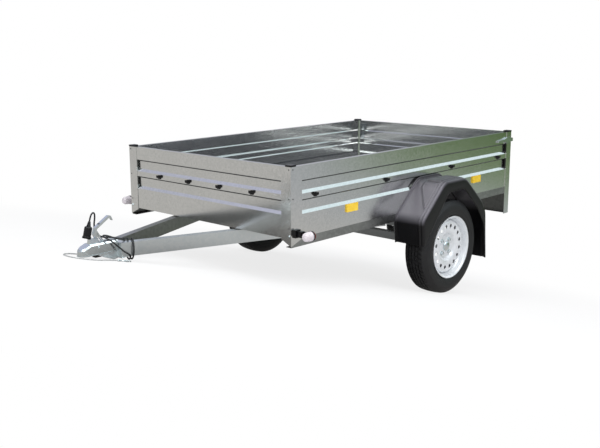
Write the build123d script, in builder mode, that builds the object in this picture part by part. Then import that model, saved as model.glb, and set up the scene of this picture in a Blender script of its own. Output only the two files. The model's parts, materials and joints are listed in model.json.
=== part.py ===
from build123d import *

import os
from math import asin, atan2, cos, degrees, hypot, radians, sin, tan

# Single-axle open box trailer, built level and then stood nose down, as it parks.
# Level frame, in millimetres: X forward with 0 at the front wall, Y to the left, Z up from the road.

os.makedirs("parts", exist_ok=True)

# ---------------------------------------------------------------- driving dimensions

BOX_LENGTH = 2105.0
BOX_WIDTH = 1280.0
BOX_TOP = 852.0
BOX_BOTTOM = 496.0
SHEET = 2.0                     # wall and post sheet
HALF = BOX_WIDTH / 2

GROOVE_DEPTH = 12.0             # pressed channels along every wall
# columns: lower edge, start of its flat, end of its flat, upper edge
GROOVES = [(612.0, 627.0, 679.0, 684.0), (713.0, 728.0, 775.0, 780.0)]
FLANGE = 30.0                   # bottom fold, under the floor
RIM = 26.0                      # top fold
RIM_LIP = 14.0

FRONT_POST_LEGS = (80.0, 65.0)  # along the side, across the front
REAR_POST_LEGS = (55.0, 40.0)
POST_TIP = 458.0
POST_TRIM = 31.0                # how far the trimmed leg ends rise from the tip
CORNER_TUBE = 32.0
CAP_HEIGHT = 9.0

FLOOR_THICKNESS = 9.0
RAIL_BOTTOM = 452.0
RAIL_DEPTH = 35.0
RAIL_WALL = 3.0
CROSS_MEMBERS = (-260.0, -845.0, -1420.0, -2040.0)  # front faces
CROSS_DEPTH = 34.0

BEAM_BOTTOM = 420.0
BEAM_TOP = 490.0
BEAM_WIDTH = 40.0
BEAM_WALL = 3.0
BEAM_SPREAD = 269.0             # outer face's half width at the front wall
BEAM_ANGLE = 20.1               # each beam, from the centre line
BEAM_REAR = -845.0
BEAM_FRONT = 622.0
NOSE_HALF = 28.0                # the beams' tips are cut to this half width, to enter the coupling
NOSE_REAR = 548.0
NOSE_FRONT = 700.0
NOSE_POINT = (608.0, 408.0)     # lowest point of the nose gusset

BALL_X = 757.0                  # centre of the 50 mm towing ball
SOCKET_RADIUS = 25.5
SOCKET_DEPTH = 30.0
COUPLING_RIM = 450.0
COUPLING_TOP = 503.0
COUPLING_REAR = 584.0
COUPLING_WALL = 4.5
COUPLING_BROW = (736.0, 481.0)  # where its top starts to slope down, and its height at the front
COUPLING_LIP = 3.0              # rolled edge round its mouth
TURRET = (676.0, 735.0, 525.0)  # rear, front and top of the lever's housing
LEVER_WIDTH = 18.0
LEVER_SHEET = 4.0

LEAD_DIAMETER = 8.0
WINDING_X = 526.0               # station on the left beam where the lead is wound round it
WINDING_LENGTH = 40.0
WIRE_DIAMETER = 6.0

AXLE_X = -1171.0
HUB_Z = 274.0
TYRE_RADIUS = 274.0
TYRE_WIDTH = 155.0
RIM_RADIUS = 182.0
RIM_WALL = 3.5
WHEEL_Y = 733.0
WHEEL_OFFSET = 30.0             # mounting face, outboard of the wheel's middle
AXLE_TUBE = 45.0
AXLE_TUBE_Z = 282.0
STUB_RADIUS = 14.0
TURNING_GAP = 0.3

SPRING_Y = 610.0
SPRING_WIDTH = 45.0
SPRING_SPAN = 600.0
SPRING_EYE_Z = 405.0
LEAF = 7.0

GUARD_WALL = 4.0
GUARD_OUTER = 828.0
GUARD_LIP = 14.0                # flange against the wall
GUARD_PANEL = 6.0               # height of the raised panels on its crown
GUARD_ROLL = (22.0, 5.0)        # width and height of the roll along its outer edge

LIGHT_BOARD_BOTTOM = 315.0
LAMP_DEPTH = 45.0
GATE_HALF = 592.0
GATE_BOTTOM = 512.0
HINGE_X = -2116.0
HINGE_Z = 502.0
HINGE_PIN = 5.0
HINGE_BARREL = 9.0
HINGE_YS = (-400.0, 400.0)

pieces = {}


def finish(piece, label):
    """Name a finished piece and keep it for the last section."""
    piece.part.label = label
    pieces[label] = piece


def finish_pair(left, label):
    """Keep a left-hand piece and its mirrored right-hand twin."""
    with BuildPart() as right:
        mirror(left.part, about=Plane.XZ)
    finish(left, f"{label}_left")
    finish(right, f"{label}_right")


def across(y):
    """Upright plane along the trailer at y; its sketches read X, Z and extrude towards -Y."""
    return Plane.XZ.offset(-y)


def wall_path(face, inward, bottom):
    """Outer face of a pressed wall from its bottom fold to the lip of its rim, as (across, height)."""
    steps = [(FLANGE, bottom), (0, bottom)]
    for low, flat_low, flat_high, high in GROOVES:
        steps += [(0, low), (GROOVE_DEPTH, flat_low), (GROOVE_DEPTH, flat_high), (0, high)]
    steps += [(0, BOX_TOP), (RIM, BOX_TOP), (RIM, BOX_TOP - RIM_LIP)]
    return [(face + inward * depth, height) for depth, height in steps]


def folded(path, thickness):
    """Outline of a sheet bent along a path: the path, and back along its mitred offset to the left."""
    points = [Vector(*point) for point in path]
    runs = [(end - start).normalized() for start, end in zip(points, points[1:])]
    normals = [Vector(-run.Y, run.X) for run in runs]
    inner = [points[0] + normals[0] * thickness]
    for point, before, after in zip(points[1:], normals, normals[1:]):
        inner.append(point + (before + after) * (thickness / (1 + before.dot(after))))
    inner.append(points[-1] + normals[-1] * thickness)
    return points + inner[::-1]


def pressed_wall(plane, face, inward, bottom, length):
    """Add one pressed wall to the open part: its path, made a folded sheet and carried along its length."""
    with BuildSketch(plane) as section:
        with BuildLine():
            Polyline(*folded(wall_path(face, inward, bottom), -inward * SHEET), close=True)
        make_face()
    extrude(section.sketch, amount=length)


# ---------------------------------------------------------------- walls and tailgate

side_face = HALF - SHEET
side_start = -(SHEET + CORNER_TUBE)
side_end = -(BOX_LENGTH - SHEET - CORNER_TUBE)
with BuildPart() as side_wall:
    pressed_wall(Plane.YZ.offset(side_end), side_face, -1, BOX_BOTTOM, side_start - side_end)
finish_pair(side_wall, "side_wall")

front_half = HALF - SHEET - CORNER_TUBE
with BuildPart() as front_wall:
    pressed_wall(across(front_half), -SHEET, -1, BOX_BOTTOM, 2 * front_half)
finish(front_wall, "front_wall")

gate_face = -BOX_LENGTH + 1
with BuildPart() as tailgate:
    pressed_wall(across(GATE_HALF), gate_face, 1, GATE_BOTTOM, 2 * GATE_HALF)
    for end in (GATE_HALF, -GATE_HALF + SHEET):
        with BuildSketch(across(end)):
            with BuildLine():
                Polyline(*wall_path(gate_face, 1, GATE_BOTTOM), close=True)
            make_face()
        extrude(amount=SHEET)
finish(tailgate, "tailgate")

# ---------------------------------------------------------------- corner posts

def corner_post(corner_x, inward, legs, foot, trim):
    """Left-hand post: an L of sheet round the corner, its foot cut to a point, and a square tube inside it."""
    side_leg, end_leg = legs
    with BuildPart() as post:
        with BuildSketch(Plane.XZ.offset(-HALF)):
            with BuildLine():
                Polyline(
                    (corner_x, foot), (corner_x + inward * side_leg, foot + trim),
                    (corner_x + inward * side_leg, BOX_TOP), (corner_x, BOX_TOP), close=True,
                )
            make_face()
        extrude(amount=SHEET)
        with BuildSketch(Plane.YZ.offset(corner_x)):
            with BuildLine():
                Polyline(
                    (HALF, foot), (HALF - end_leg, foot + trim), (HALF - end_leg, BOX_TOP), (HALF, BOX_TOP), close=True,
                )
            make_face()
        extrude(amount=inward * SHEET)
        with BuildSketch(Plane.XY.offset(BOX_BOTTOM + SHEET)):
            middle = SHEET + CORNER_TUBE / 2
            with Locations((corner_x + inward * middle, HALF - middle)):
                Rectangle(CORNER_TUBE, CORNER_TUBE)
                Rectangle(CORNER_TUBE - 2 * SHEET, CORNER_TUBE - 2 * SHEET, mode=Mode.SUBTRACT)
        extrude(amount=BOX_TOP - BOX_BOTTOM - SHEET)
    return post


finish_pair(corner_post(0, -1, FRONT_POST_LEGS, POST_TIP, POST_TRIM), "front_post")
finish_pair(corner_post(-BOX_LENGTH, 1, REAR_POST_LEGS, LIGHT_BOARD_BOTTOM, 0), "rear_post")

with BuildPart() as post_caps:
    cap = CORNER_TUBE + 2 * SHEET + 2
    with BuildSketch(Plane.XY.offset(BOX_TOP)):
        for x in (-cap / 2 + 1, -BOX_LENGTH + cap / 2 - 1):
            with Locations((x, HALF - cap / 2 + 1), (x, -HALF + cap / 2 - 1)):
                Rectangle(cap, cap)
    extrude(amount=CAP_HEIGHT)
finish(post_caps, "post_caps")

# ---------------------------------------------------------------- frame and floor

floor_length = BOX_LENGTH - 2 * (2 * SHEET + 1)
floor_width = 2 * (HALF - 2 * SHEET - 1)
with BuildPart() as floor:
    with BuildSketch(Plane.XY.offset(BOX_BOTTOM + SHEET)):
        with Locations((-BOX_LENGTH / 2, 0)):
            Rectangle(floor_length, floor_width)
            with GridLocations(floor_length, floor_width, 2, 2):
                Rectangle(2 * CORNER_TUBE, 2 * CORNER_TUBE, mode=Mode.SUBTRACT)
    extrude(amount=FLOOR_THICKNESS)
finish(floor, "floor")

rail_front = -(SHEET + 2)
rail_rear = -BOX_LENGTH + 8
with BuildPart() as side_rail:
    with BuildSketch(Plane.YZ.offset(rail_rear)):
        with BuildLine():
            inner = side_face - RAIL_DEPTH
            path = [(inner, RAIL_BOTTOM), (side_face, RAIL_BOTTOM), (side_face, BOX_BOTTOM), (inner, BOX_BOTTOM)]
            Polyline(*folded(path, RAIL_WALL), close=True)
        make_face()
    extrude(amount=rail_front - rail_rear)
finish_pair(side_rail, "side_rail")

beam_slope = tan(radians(BEAM_ANGLE))


def beam_outer(x):
    """Half width of a beam's outer face at x."""
    return BEAM_SPREAD - x * beam_slope


def beam_outline(front, rear, inset):
    """Plan of the left beam between two stations, inset on its long sides."""
    square = cos(radians(BEAM_ANGLE))
    outer = inset / square
    inner = (BEAM_WIDTH - inset) / square
    return [
        (front, beam_outer(front) - outer), (rear, beam_outer(rear) - outer),
        (rear, beam_outer(rear) - inner), (front, beam_outer(front) - inner),
    ]


with BuildPart() as beam:
    with BuildSketch(Plane.XY.offset(BEAM_BOTTOM)):
        with BuildLine():
            Polyline(*beam_outline(BEAM_FRONT, BEAM_REAR, 0), close=True)
        make_face()
        with BuildLine():
            Polyline((BEAM_REAR, 0), (BEAM_FRONT + 100, 0), (BEAM_FRONT + 100, -200), (BEAM_REAR, -200), close=True)
        make_face(mode=Mode.SUBTRACT)
        with Locations((COUPLING_REAR + 150, NOSE_HALF + 50)):
            Rectangle(304, 100, mode=Mode.SUBTRACT)
    extrude(amount=BEAM_TOP - BEAM_BOTTOM)
    with BuildSketch(Plane.XY.offset(BEAM_BOTTOM + BEAM_WALL)):
        with BuildLine():
            Polyline(*beam_outline(BEAM_FRONT - 190, BEAM_REAR, BEAM_WALL), close=True)
        make_face()
    extrude(amount=BEAM_TOP - BEAM_BOTTOM - 2 * BEAM_WALL, mode=Mode.SUBTRACT)
finish_pair(beam, "drawbar_beam")

with BuildPart() as cross_members:
    for front in CROSS_MEMBERS:
        width = side_face - RAIL_WALL - 0.5
        with BuildSketch(across(width)):
            with BuildLine():
                rear = front - CROSS_DEPTH
                path = [(front, RAIL_BOTTOM), (rear, RAIL_BOTTOM), (rear, BOX_BOTTOM), (front, BOX_BOTTOM)]
                Polyline(*folded(path, -RAIL_WALL), close=True)
            make_face()
        extrude(amount=2 * width)
    with BuildSketch(Plane.XY.offset(BEAM_BOTTOM)):
        with BuildLine():
            Polyline(*beam_outline(0, BEAM_REAR + 0.1, 0), close=True)
        make_face()
        mirror(about=Plane.XZ)
    extrude(amount=BEAM_TOP - BEAM_BOTTOM, mode=Mode.SUBTRACT)
    for side in (1, -1):
        with BuildSketch(Plane.XY.offset(RAIL_BOTTOM)):
            with Locations((-BOX_LENGTH / 2, side * (side_face - RAIL_DEPTH / 2))):
                Rectangle(BOX_LENGTH, RAIL_DEPTH)
        extrude(amount=BOX_BOTTOM - RAIL_BOTTOM, mode=Mode.SUBTRACT)
finish(cross_members, "cross_members")

with BuildPart() as light_board:
    with BuildSketch(across(HALF - SHEET)):
        with BuildLine():
            face = -BOX_LENGTH + SHEET
            path = [
                (face + 22, BOX_BOTTOM), (face, BOX_BOTTOM), (face, LIGHT_BOARD_BOTTOM), (face + 22, LIGHT_BOARD_BOTTOM),
            ]
            Polyline(*folded(path, SHEET), close=True)
        make_face()
    extrude(amount=2 * (HALF - SHEET))
    with BuildSketch(Plane.XY.offset(RAIL_BOTTOM - 1)):
        for side in (1, -1):
            with Locations((face + 11, side * (side_face - RAIL_DEPTH / 2))):
                Rectangle(24, RAIL_DEPTH + 2)
    extrude(amount=BOX_BOTTOM - RAIL_BOTTOM + 2, mode=Mode.SUBTRACT)
finish(light_board, "light_board")

# ---------------------------------------------------------------- running gear

axle_axis = Axis((AXLE_X, 0, HUB_Z), (0, 1, 0))
tube_half = WHEEL_Y - TYRE_WIDTH / 2 - 12
with BuildPart() as axle_beam:
    with BuildSketch(across(tube_half)):
        with Locations((AXLE_X, AXLE_TUBE_Z)):
            Rectangle(AXLE_TUBE, AXLE_TUBE)
    extrude(amount=2 * tube_half)
    with BuildSketch(across(WHEEL_Y + 28)):
        with Locations((AXLE_X, HUB_Z)):
            Circle(STUB_RADIUS)
    extrude(amount=2 * (WHEEL_Y + 28))
finish(axle_beam, "axle_beam")


LEAF_SHARES = (1.0, 0.78, 0.5)  # each leaf's length, as a share of the main leaf's
CLAMP_HALF = 48.0  # the leaves lie flat between the clamp plates
leaf_seat = AXLE_TUBE_Z + AXLE_TUBE / 2 + len(LEAF_SHARES) * LEAF
leaf_rise = (SPRING_EYE_Z - leaf_seat) / (SPRING_SPAN / 2 - CLAMP_HALF) ** 2
with BuildPart() as leaf_spring:
    for number, share in enumerate(LEAF_SHARES):
        with BuildSketch(across(SPRING_Y + SPRING_WIDTH / 2)):
            with BuildLine():
                end = share * SPRING_SPAN / 2
                reaches = (CLAMP_HALF, (end + CLAMP_HALF) / 2, end)
                rear_half = [(-reach, leaf_seat - number * LEAF + leaf_rise * (reach - CLAMP_HALF) ** 2) for reach in reaches[::-1]]
                path = [(AXLE_X + x, z) for x, z in rear_half + [(-x, z) for x, z in rear_half[::-1]]]
                Polyline(*folded(path, -LEAF), close=True)
            make_face()
        extrude(amount=SPRING_WIDTH)
    with BuildSketch(across(SPRING_Y + SPRING_WIDTH / 2)):
        with Locations(*[(AXLE_X + end * SPRING_SPAN / 2, SPRING_EYE_Z) for end in (-1, 1)]):
            Circle(15)
    extrude(amount=SPRING_WIDTH)
finish_pair(leaf_spring, "leaf_spring")

with BuildPart() as spring_clamps:
    for side in (1, -1):
        middle = side * SPRING_Y
        for bottom, thick in ((leaf_seat, 9), (AXLE_TUBE_Z - AXLE_TUBE / 2 - 8, 8)):
            with BuildSketch(Plane.XY.offset(bottom)):
                with Locations((AXLE_X, middle)):
                    Rectangle(2 * CLAMP_HALF, 78)
            extrude(amount=thick)
        with BuildSketch(Plane.XY.offset(AXLE_TUBE_Z - AXLE_TUBE / 2 - 16)):
            with Locations((AXLE_X, middle)):
                with GridLocations(62, 57, 2, 2):
                    RegularPolygon(5.5, 8)
        extrude(amount=leaf_seat - AXLE_TUBE_Z + AXLE_TUBE / 2 + 36)
finish(spring_clamps, "spring_clamps")

with BuildPart() as spring_hangers:
    for side in (1, -1):
        for x in (AXLE_X - SPRING_SPAN / 2, AXLE_X + SPRING_SPAN / 2):
            with BuildSketch(across(side * SPRING_Y + SPRING_WIDTH / 2 + 5)):
                with BuildLine():
                    Polyline((x - 30, RAIL_BOTTOM), (x + 30, RAIL_BOTTOM), (x + 17, SPRING_EYE_Z - 12),
                             (x - 17, SPRING_EYE_Z - 12), close=True)
                make_face()
            extrude(amount=SPRING_WIDTH + 10)
            with BuildSketch(across(side * SPRING_Y + SPRING_WIDTH / 2)):
                with Locations((x, SPRING_EYE_Z - 2)):
                    Rectangle(90, 50)
            extrude(amount=SPRING_WIDTH, mode=Mode.SUBTRACT)
finish(spring_hangers, "spring_hangers")

# ---------------------------------------------------------------- wheels

def turned(points):
    """Add to the open part a ring about the axle, from (offset from the wheel's middle, radius) corners."""
    with BuildSketch(Plane.YZ.offset(AXLE_X)) as section:
        with BuildLine():
            Polyline(*[(WHEEL_Y + y, HUB_Z + r) for y, r in points], close=True)
        make_face()
    revolve(section.sketch, axis=axle_axis)


TYRE_SIDE = [(52, TYRE_RADIUS), (TYRE_WIDTH / 2, 233), (65.2, 168)]
with BuildPart() as tyre:
    turned(TYRE_SIDE + [(-y, r) for y, r in reversed(TYRE_SIDE)])
finish_pair(tyre, "tyre")

RIM_SIDE = [(68, 166), (68, RIM_RADIUS), (72, RIM_RADIUS), (72, 162)]
RIM_DISC = [(12, 164), (38, 140), (38, 98), (WHEEL_OFFSET, 80), (WHEEL_OFFSET, 31)]
HAND_HOLES = 16
HAND_HOLE_CIRCLE = 120.0
HAND_HOLE_RADIUS = 9.0
with BuildPart() as rim:
    turned(RIM_SIDE + [(-y, r) for y, r in reversed(RIM_SIDE)])
    turned([(point.X, point.Y) for point in folded(RIM_DISC, -RIM_WALL)])
    with BuildSketch(across(WHEEL_Y + TYRE_WIDTH / 2)):
        with Locations((AXLE_X, HUB_Z)):
            with PolarLocations(HAND_HOLE_CIRCLE, HAND_HOLES):
                RegularPolygon(HAND_HOLE_RADIUS, 10)
    extrude(amount=TYRE_WIDTH / 2, mode=Mode.SUBTRACT)
finish_pair(rim, "rim")

stub_bore = STUB_RADIUS + TURNING_GAP
hub_face = WHEEL_OFFSET - RIM_WALL
hub_points = [
    (-50, stub_bore), (-50, 36), (hub_face - 10, 36), (hub_face - 10, 66), (hub_face, 66),
    (hub_face, 28), (42, 28), (42, 0), (31, 0), (31, stub_bore),
]
with BuildPart() as hub:
    turned(hub_points)
finish_pair(hub, "hub")

# ---------------------------------------------------------------- mudguards

CROWN = [(-868, 333), (-856, 476), (-1062, 665), (-1280, 665), (-1470, 500), (-1512, 430), (-1528, 150)]
ARCH = [(-880, 333), (-1102, 602), (-1262, 608), (-1349, 571), (-1414, 471), (-1490, 365)]
# raised panels: the two crown corners that each lies between, and its edge as (share of the way, y)
PANELS = [
    (1, 2, [(0.30, 778), (0.80, 690), (0.97, 690), (0.97, 800), (0.30, 800)]),
    (2, 3, [(0.04, 690), (0.96, 690), (0.96, 800), (0.04, 800)]),
    (3, 4, [(0.04, 690), (0.25, 690), (0.75, 778), (0.75, 800), (0.04, 800)]),
]
with BuildPart() as mudguard:
    with BuildSketch(across(GUARD_OUTER)):
        with BuildLine():
            Polyline(*folded(CROWN, GUARD_WALL), close=True)
        make_face()
    extrude(amount=GUARD_OUTER - HALF + SHEET)
    with BuildSketch(across(GUARD_OUTER)):
        with BuildLine():
            Polyline(*CROWN[:-1], (-1518, 365), *ARCH[::-1], close=True)
        make_face()
    extrude(amount=GUARD_WALL)
    roll_width, roll_height = GUARD_ROLL
    with BuildSketch(across(GUARD_OUTER)):
        with BuildLine():
            Polyline(*folded(CROWN[:6], -roll_height), close=True)
        make_face()
    extrude(amount=roll_width)
    with BuildSketch(across(HALF - SHEET + 3)):
        with BuildLine():
            Polyline(*folded(CROWN[:5], -GUARD_LIP), close=True)
        make_face()
    extrude(amount=3)
    for first, second, edge in PANELS:
        start, end = Vector(CROWN[first][0], 0, CROWN[first][1]), Vector(CROWN[second][0], 0, CROWN[second][1])
        along = end - start
        crown_plane = Plane(origin=start, x_dir=along, z_dir=Vector(0, 1, 0).cross(along))
        with BuildSketch(crown_plane) as panel:
            with BuildLine():
                Polyline(*[(share * along.length, -y) for share, y in edge], close=True)
            make_face()
        extrude(panel.sketch, amount=GUARD_PANEL, taper=30)
finish_pair(mudguard, "mudguard")

# ---------------------------------------------------------------- coupling

mouth_half = NOSE_HALF + COUPLING_WALL
turret_rear, turret_front, turret_top = TURRET
brow_rear, brow_front = COUPLING_BROW
nose_front = BALL_X + mouth_half
with BuildPart() as coupling:
    with BuildSketch(Plane.XY.offset(COUPLING_RIM)):
        with Locations((BALL_X, 0)):
            Circle(mouth_half)
        with Locations(((BALL_X + COUPLING_REAR) / 2, 0)):
            Rectangle(BALL_X - COUPLING_REAR, 2 * mouth_half)
    extrude(amount=COUPLING_TOP - COUPLING_RIM)
    with BuildSketch(across(mouth_half)):
        with BuildLine():
            Polyline((brow_rear, COUPLING_TOP), (nose_front, brow_front), (nose_front, COUPLING_TOP), close=True)
        make_face()
    extrude(amount=2 * mouth_half, mode=Mode.SUBTRACT)
    top_faces = coupling.faces().filter_by(lambda face: face.normal_at().Z > 0.5)
    rear_edge = top_faces.edges().sort_by(Axis.X)[0]
    brow_edge = top_faces.sort_by(Axis.X)[0].edges().sort_by(Axis.X)[-1]
    chamfer([edge for edge in top_faces.edges() if edge not in (rear_edge, brow_edge) and abs(edge.center().X - brow_rear) > 0.1], 7)
    with BuildSketch(Plane.XY.offset(COUPLING_RIM)):
        with Locations((BALL_X, 0)):
            Circle(mouth_half + COUPLING_LIP)
        with Locations(((BALL_X + COUPLING_REAR) / 2, 0)):
            Rectangle(BALL_X - COUPLING_REAR, 2 * (mouth_half + COUPLING_LIP))
    extrude(amount=COUPLING_LIP)
    with BuildSketch(Plane.XY.offset(COUPLING_TOP - 2)):
        with Locations(((turret_rear + turret_front) / 2, 0)):
            RectangleRounded(turret_front - turret_rear, 28, 10)
    extrude(amount=turret_top - COUPLING_TOP + 2, taper=8)
    with BuildSketch(Plane.XY.offset(COUPLING_RIM)):
        with Locations((BALL_X, 0)):
            Circle(SOCKET_RADIUS)
    extrude(amount=SOCKET_DEPTH, mode=Mode.SUBTRACT)
    with BuildSketch(Plane.XY.offset(COUPLING_RIM)):
        with Locations(((COUPLING_REAR + NOSE_FRONT) / 2, 0)):
            Rectangle(NOSE_FRONT - COUPLING_REAR + 2, 2 * NOSE_HALF)
    extrude(amount=BEAM_TOP - COUPLING_RIM, mode=Mode.SUBTRACT)
finish(coupling, "coupling")

LEVER_PATH = [(694, turret_top), (705, 545), (694, 577), (616, 625), (602, 622), (592, 600)]
with BuildPart() as coupling_handle:
    with BuildSketch(across(LEVER_WIDTH / 2)):
        with BuildLine():
            Polyline(*folded(LEVER_PATH, LEVER_SHEET), close=True)
        make_face()
    extrude(amount=LEVER_WIDTH)
    for edge in (LEVER_WIDTH / 2, -LEVER_WIDTH / 2 + 2.5):  # the pressed edges that stiffen the strap
        with BuildSketch(across(edge)):
            with BuildLine():
                Polyline(*folded(LEVER_PATH[:5], 3 * LEVER_SHEET), close=True)
            make_face()
        extrude(amount=2.5)
finish(coupling_handle, "coupling_handle")

CATCH_TOP = (686, 556)
CATCH_FOOT = (652, COUPLING_TOP)
with BuildPart() as coupling_catch:
    reach = Vector(*CATCH_TOP) - Vector(*CATCH_FOOT)
    with BuildSketch(across(3)):
        with Locations(Location(((CATCH_TOP[0] + CATCH_FOOT[0]) / 2, (CATCH_TOP[1] + CATCH_FOOT[1]) / 2), reach.get_angle(Vector(1, 0)))):
            Rectangle(reach.length, 13)
            Rectangle(reach.length - 16, 4, mode=Mode.SUBTRACT)
        with Locations((CATCH_FOOT[0], COUPLING_TOP - 20)):
            Rectangle(80, 40, mode=Mode.SUBTRACT)
    extrude(amount=6)
finish(coupling_catch, "coupling_catch")

with BuildPart() as nose_plate:
    with BuildSketch(across(100)):
        with BuildLine():
            Polyline(
                (NOSE_REAR, BEAM_BOTTOM), NOSE_POINT, (660, 428), (NOSE_FRONT, 447), (NOSE_FRONT, BEAM_TOP),
                (NOSE_REAR, BEAM_TOP), close=True,
            )
        make_face()
    extrude(amount=200)
    with BuildSketch(Plane.XY.offset(NOSE_POINT[1])):
        with BuildLine():
            step = COUPLING_REAR - 2
            left = [(NOSE_REAR, beam_outer(NOSE_REAR)), (step, beam_outer(step)), (step, NOSE_HALF), (NOSE_FRONT, NOSE_HALF)]
            Polyline(*left, *[(x, -y) for x, y in reversed(left)], close=True)
        make_face()
    extrude(amount=BEAM_TOP - NOSE_POINT[1], mode=Mode.INTERSECT)
    with BuildSketch(Plane.XY.offset(BEAM_BOTTOM)):
        with BuildLine():
            Polyline(*beam_outline(BEAM_FRONT, NOSE_REAR - 1, 0), close=True)
        make_face()
        mirror(about=Plane.XZ)
    extrude(amount=BEAM_TOP - BEAM_BOTTOM, mode=Mode.SUBTRACT)
finish(nose_plate, "nose_plate")

with BuildPart() as wire_anchor:
    with BuildSketch(across(14)):
        with BuildLine():
            Polyline((668, 431.8), (704, 431.8), (704, 447), (NOSE_FRONT, 447), close=True)
        make_face()
    extrude(amount=28)
finish(wire_anchor, "wire_anchor")

# ---------------------------------------------------------------- lead and plug

beam_forward = Vector(cos(radians(BEAM_ANGLE)), -sin(radians(BEAM_ANGLE)))
beam_outward = Vector(sin(radians(BEAM_ANGLE)), cos(radians(BEAM_ANGLE)))
beam_middle_z = (BEAM_BOTTOM + BEAM_TOP) / 2
winding_middle = Vector(WINDING_X, beam_outer(WINDING_X) - BEAM_WIDTH / 2 / cos(radians(BEAM_ANGLE)), 0)


def beside_beam(forward, outward, height):
    """Point near the left beam: along it and out of its middle, from the winding's station, and above the road."""
    return winding_middle + beam_forward * forward + beam_outward * outward + Vector(0, 0, height)


def cord_tube(stretches, diameter):
    """Add to the open part a tube along each stretch: straight runs, and arcs as large as the runs allow."""
    for points in stretches:
        corners = [Vector(*point) for point in points]
        radii = []
        for before, corner, after in zip(corners, corners[1:], corners[2:]):
            arriving, leaving = corner - before, after - corner
            half_turn = radians(arriving.get_angle(leaving)) / 2
            radii.append(0.45 * min(arriving.length, leaving.length) / tan(half_turn))
        with BuildLine() as route:
            FilletPolyline(*corners, radius=radii)
        with BuildSketch(Plane(origin=route.line @ 0, z_dir=route.line % 0)) as section:
            Circle(diameter / 2)
        sweep(section.sketch, path=route.line)
        print("route", round(sum(edge.length for edge in route.edges())), "mm, radii", [round(radius) for radius in radii])


with BuildPart() as lead_winding:  # the outer shape of two turns round the beam
    section_plane = Plane(origin=beside_beam(-WINDING_LENGTH / 2, 0, beam_middle_z), x_dir=beam_outward, z_dir=beam_forward)
    with BuildSketch(section_plane) as ring:
        with Locations((1, -3)):
            Ellipse(40, 56)
        Rectangle(BEAM_WIDTH + 3, BEAM_TOP - BEAM_BOTTOM + 3, mode=Mode.SUBTRACT)
    extrude(ring.sketch, amount=WINDING_LENGTH)
finish(lead_winding, "lead_winding")

PLUG_TOP = Vector(719, 0, 612)
PLUG_LENGTH = 84.0
plug_axis = Vector(-0.255, 0, 0.967)
# columns: radius, distance from the mouth
PLUG = [(0, 0), (21.5, 0), (21.5, 10), (19, 10), (19, 57), (10.5, 57), (10.5, 84), (0, 84)]
with BuildPart() as lead_plug:
    with BuildSketch(Plane.XZ):
        with BuildLine():
            Polyline(*PLUG, close=True)
        make_face()
    revolve(axis=Axis.Z)
lead_plug.part.move(Plane(origin=PLUG_TOP - plug_axis * PLUG_LENGTH, z_dir=plug_axis).location)
finish(lead_plug, "lead_plug")

GLAND_FORWARD = -158.0
with BuildPart() as lead_gland:
    gland_foot = beside_beam(GLAND_FORWARD, -BEAM_WIDTH / 2, 462)
    with BuildSketch(Plane(origin=gland_foot, z_dir=-beam_outward)) as foot:
        Circle(7.5)
    extrude(foot.sketch, amount=22)
finish(lead_gland, "lead_gland")

to_winding = [beside_beam(*point) for point in (
    (GLAND_FORWARD, -42, 462), (GLAND_FORWARD, -66, 462), (-142, -84, 458), (-117, -88, 454),
    (-92, -77, 455), (-73, -54, 461), (-45, -27, 470), (-WINDING_LENGTH / 2, -27, 470),
)]
loose_loop = [
    beside_beam(WINDING_LENGTH / 2, 29, 450), beside_beam(37, 29, 450), (587, 64, 461), (606, 58, 480),
    (624, 51, 499), (641, 42, 515), (653, 17, 525), (645, -9, 529), (619, -13, 524), (589, 17, 514),
    beside_beam(39, 8, 498), beside_beam(WINDING_LENGTH / 2, 8, 498),
]
to_plug = [
    beside_beam(WINDING_LENGTH / 2, -10, 498), beside_beam(39, -10, 498), (582, 6, 510), (602, -18, 511), (628, -33, 513),
    (652, -42, 530), (664, -44, 557), (667, -41, 585), (666, -34, 614), (671, -26, 639), (691, -11, 649),
    (712.4, 0, 637.1), PLUG_TOP,
]
with BuildPart() as lead_cable:
    cord_tube([to_winding, loose_loop, to_plug], LEAD_DIAMETER)
finish(lead_cable, "lead_cable")

# ---------------------------------------------------------------- lamps, reflectors, hooks

LAMP_X = -52.0                  # middle of the lamp's black ring
LAMP_Y = 724.0
LAMP_Z = 518.0
LAMP_RADIUS = 26.0
with BuildPart() as marker_lamps:
    for side in (1, -1):
        with BuildSketch(across(side * HALF)):
            with Locations((-38, LAMP_Z + 3)):
                Rectangle(36, 40)
        extrude(amount=-side * 12)
        with BuildSketch(across(side * (HALF + 10))):
            with Locations((LAMP_X + 9, LAMP_Z + 2)):
                Rectangle(26, 30)
        extrude(amount=-side * 30)
        with BuildSketch(across(side * (HALF + 10))):
            with Locations((LAMP_X, LAMP_Z)):
                Rectangle(8, 30)
        extrude(amount=-side * (LAMP_Y - HALF - 25))
        with BuildSketch(Plane.YZ.offset(LAMP_X - 4)):
            with Locations((side * LAMP_Y, LAMP_Z)):
                Circle(LAMP_RADIUS)
        extrude(amount=8)
finish(marker_lamps, "marker_lamps")


def lamp_domes(label, face, reach):
    """A domed lens on each marker lamp, standing off its ring by reach, which is negative to the rear."""
    with BuildPart() as domes:
        for side in (1, -1):
            with BuildSketch(Plane.YZ.offset(face)):
                with Locations((side * LAMP_Y, LAMP_Z)):
                    Circle(LAMP_RADIUS - 1.5)
            extrude(amount=reach, taper=4)
    finish(domes, label)


lamp_domes("marker_lenses", LAMP_X + 4, 48)
lamp_domes("marker_rear_lenses", LAMP_X - 4, -9)

with BuildPart() as side_reflectors:
    for side in (1, -1):
        with BuildSketch(across(side * (HALF - SHEET) + (8 if side > 0 else 0))):
            with Locations((-467, 590), (-1690, 590)):
                Rectangle(90, 42)
        extrude(amount=8)
finish(side_reflectors, "side_reflectors")

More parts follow.
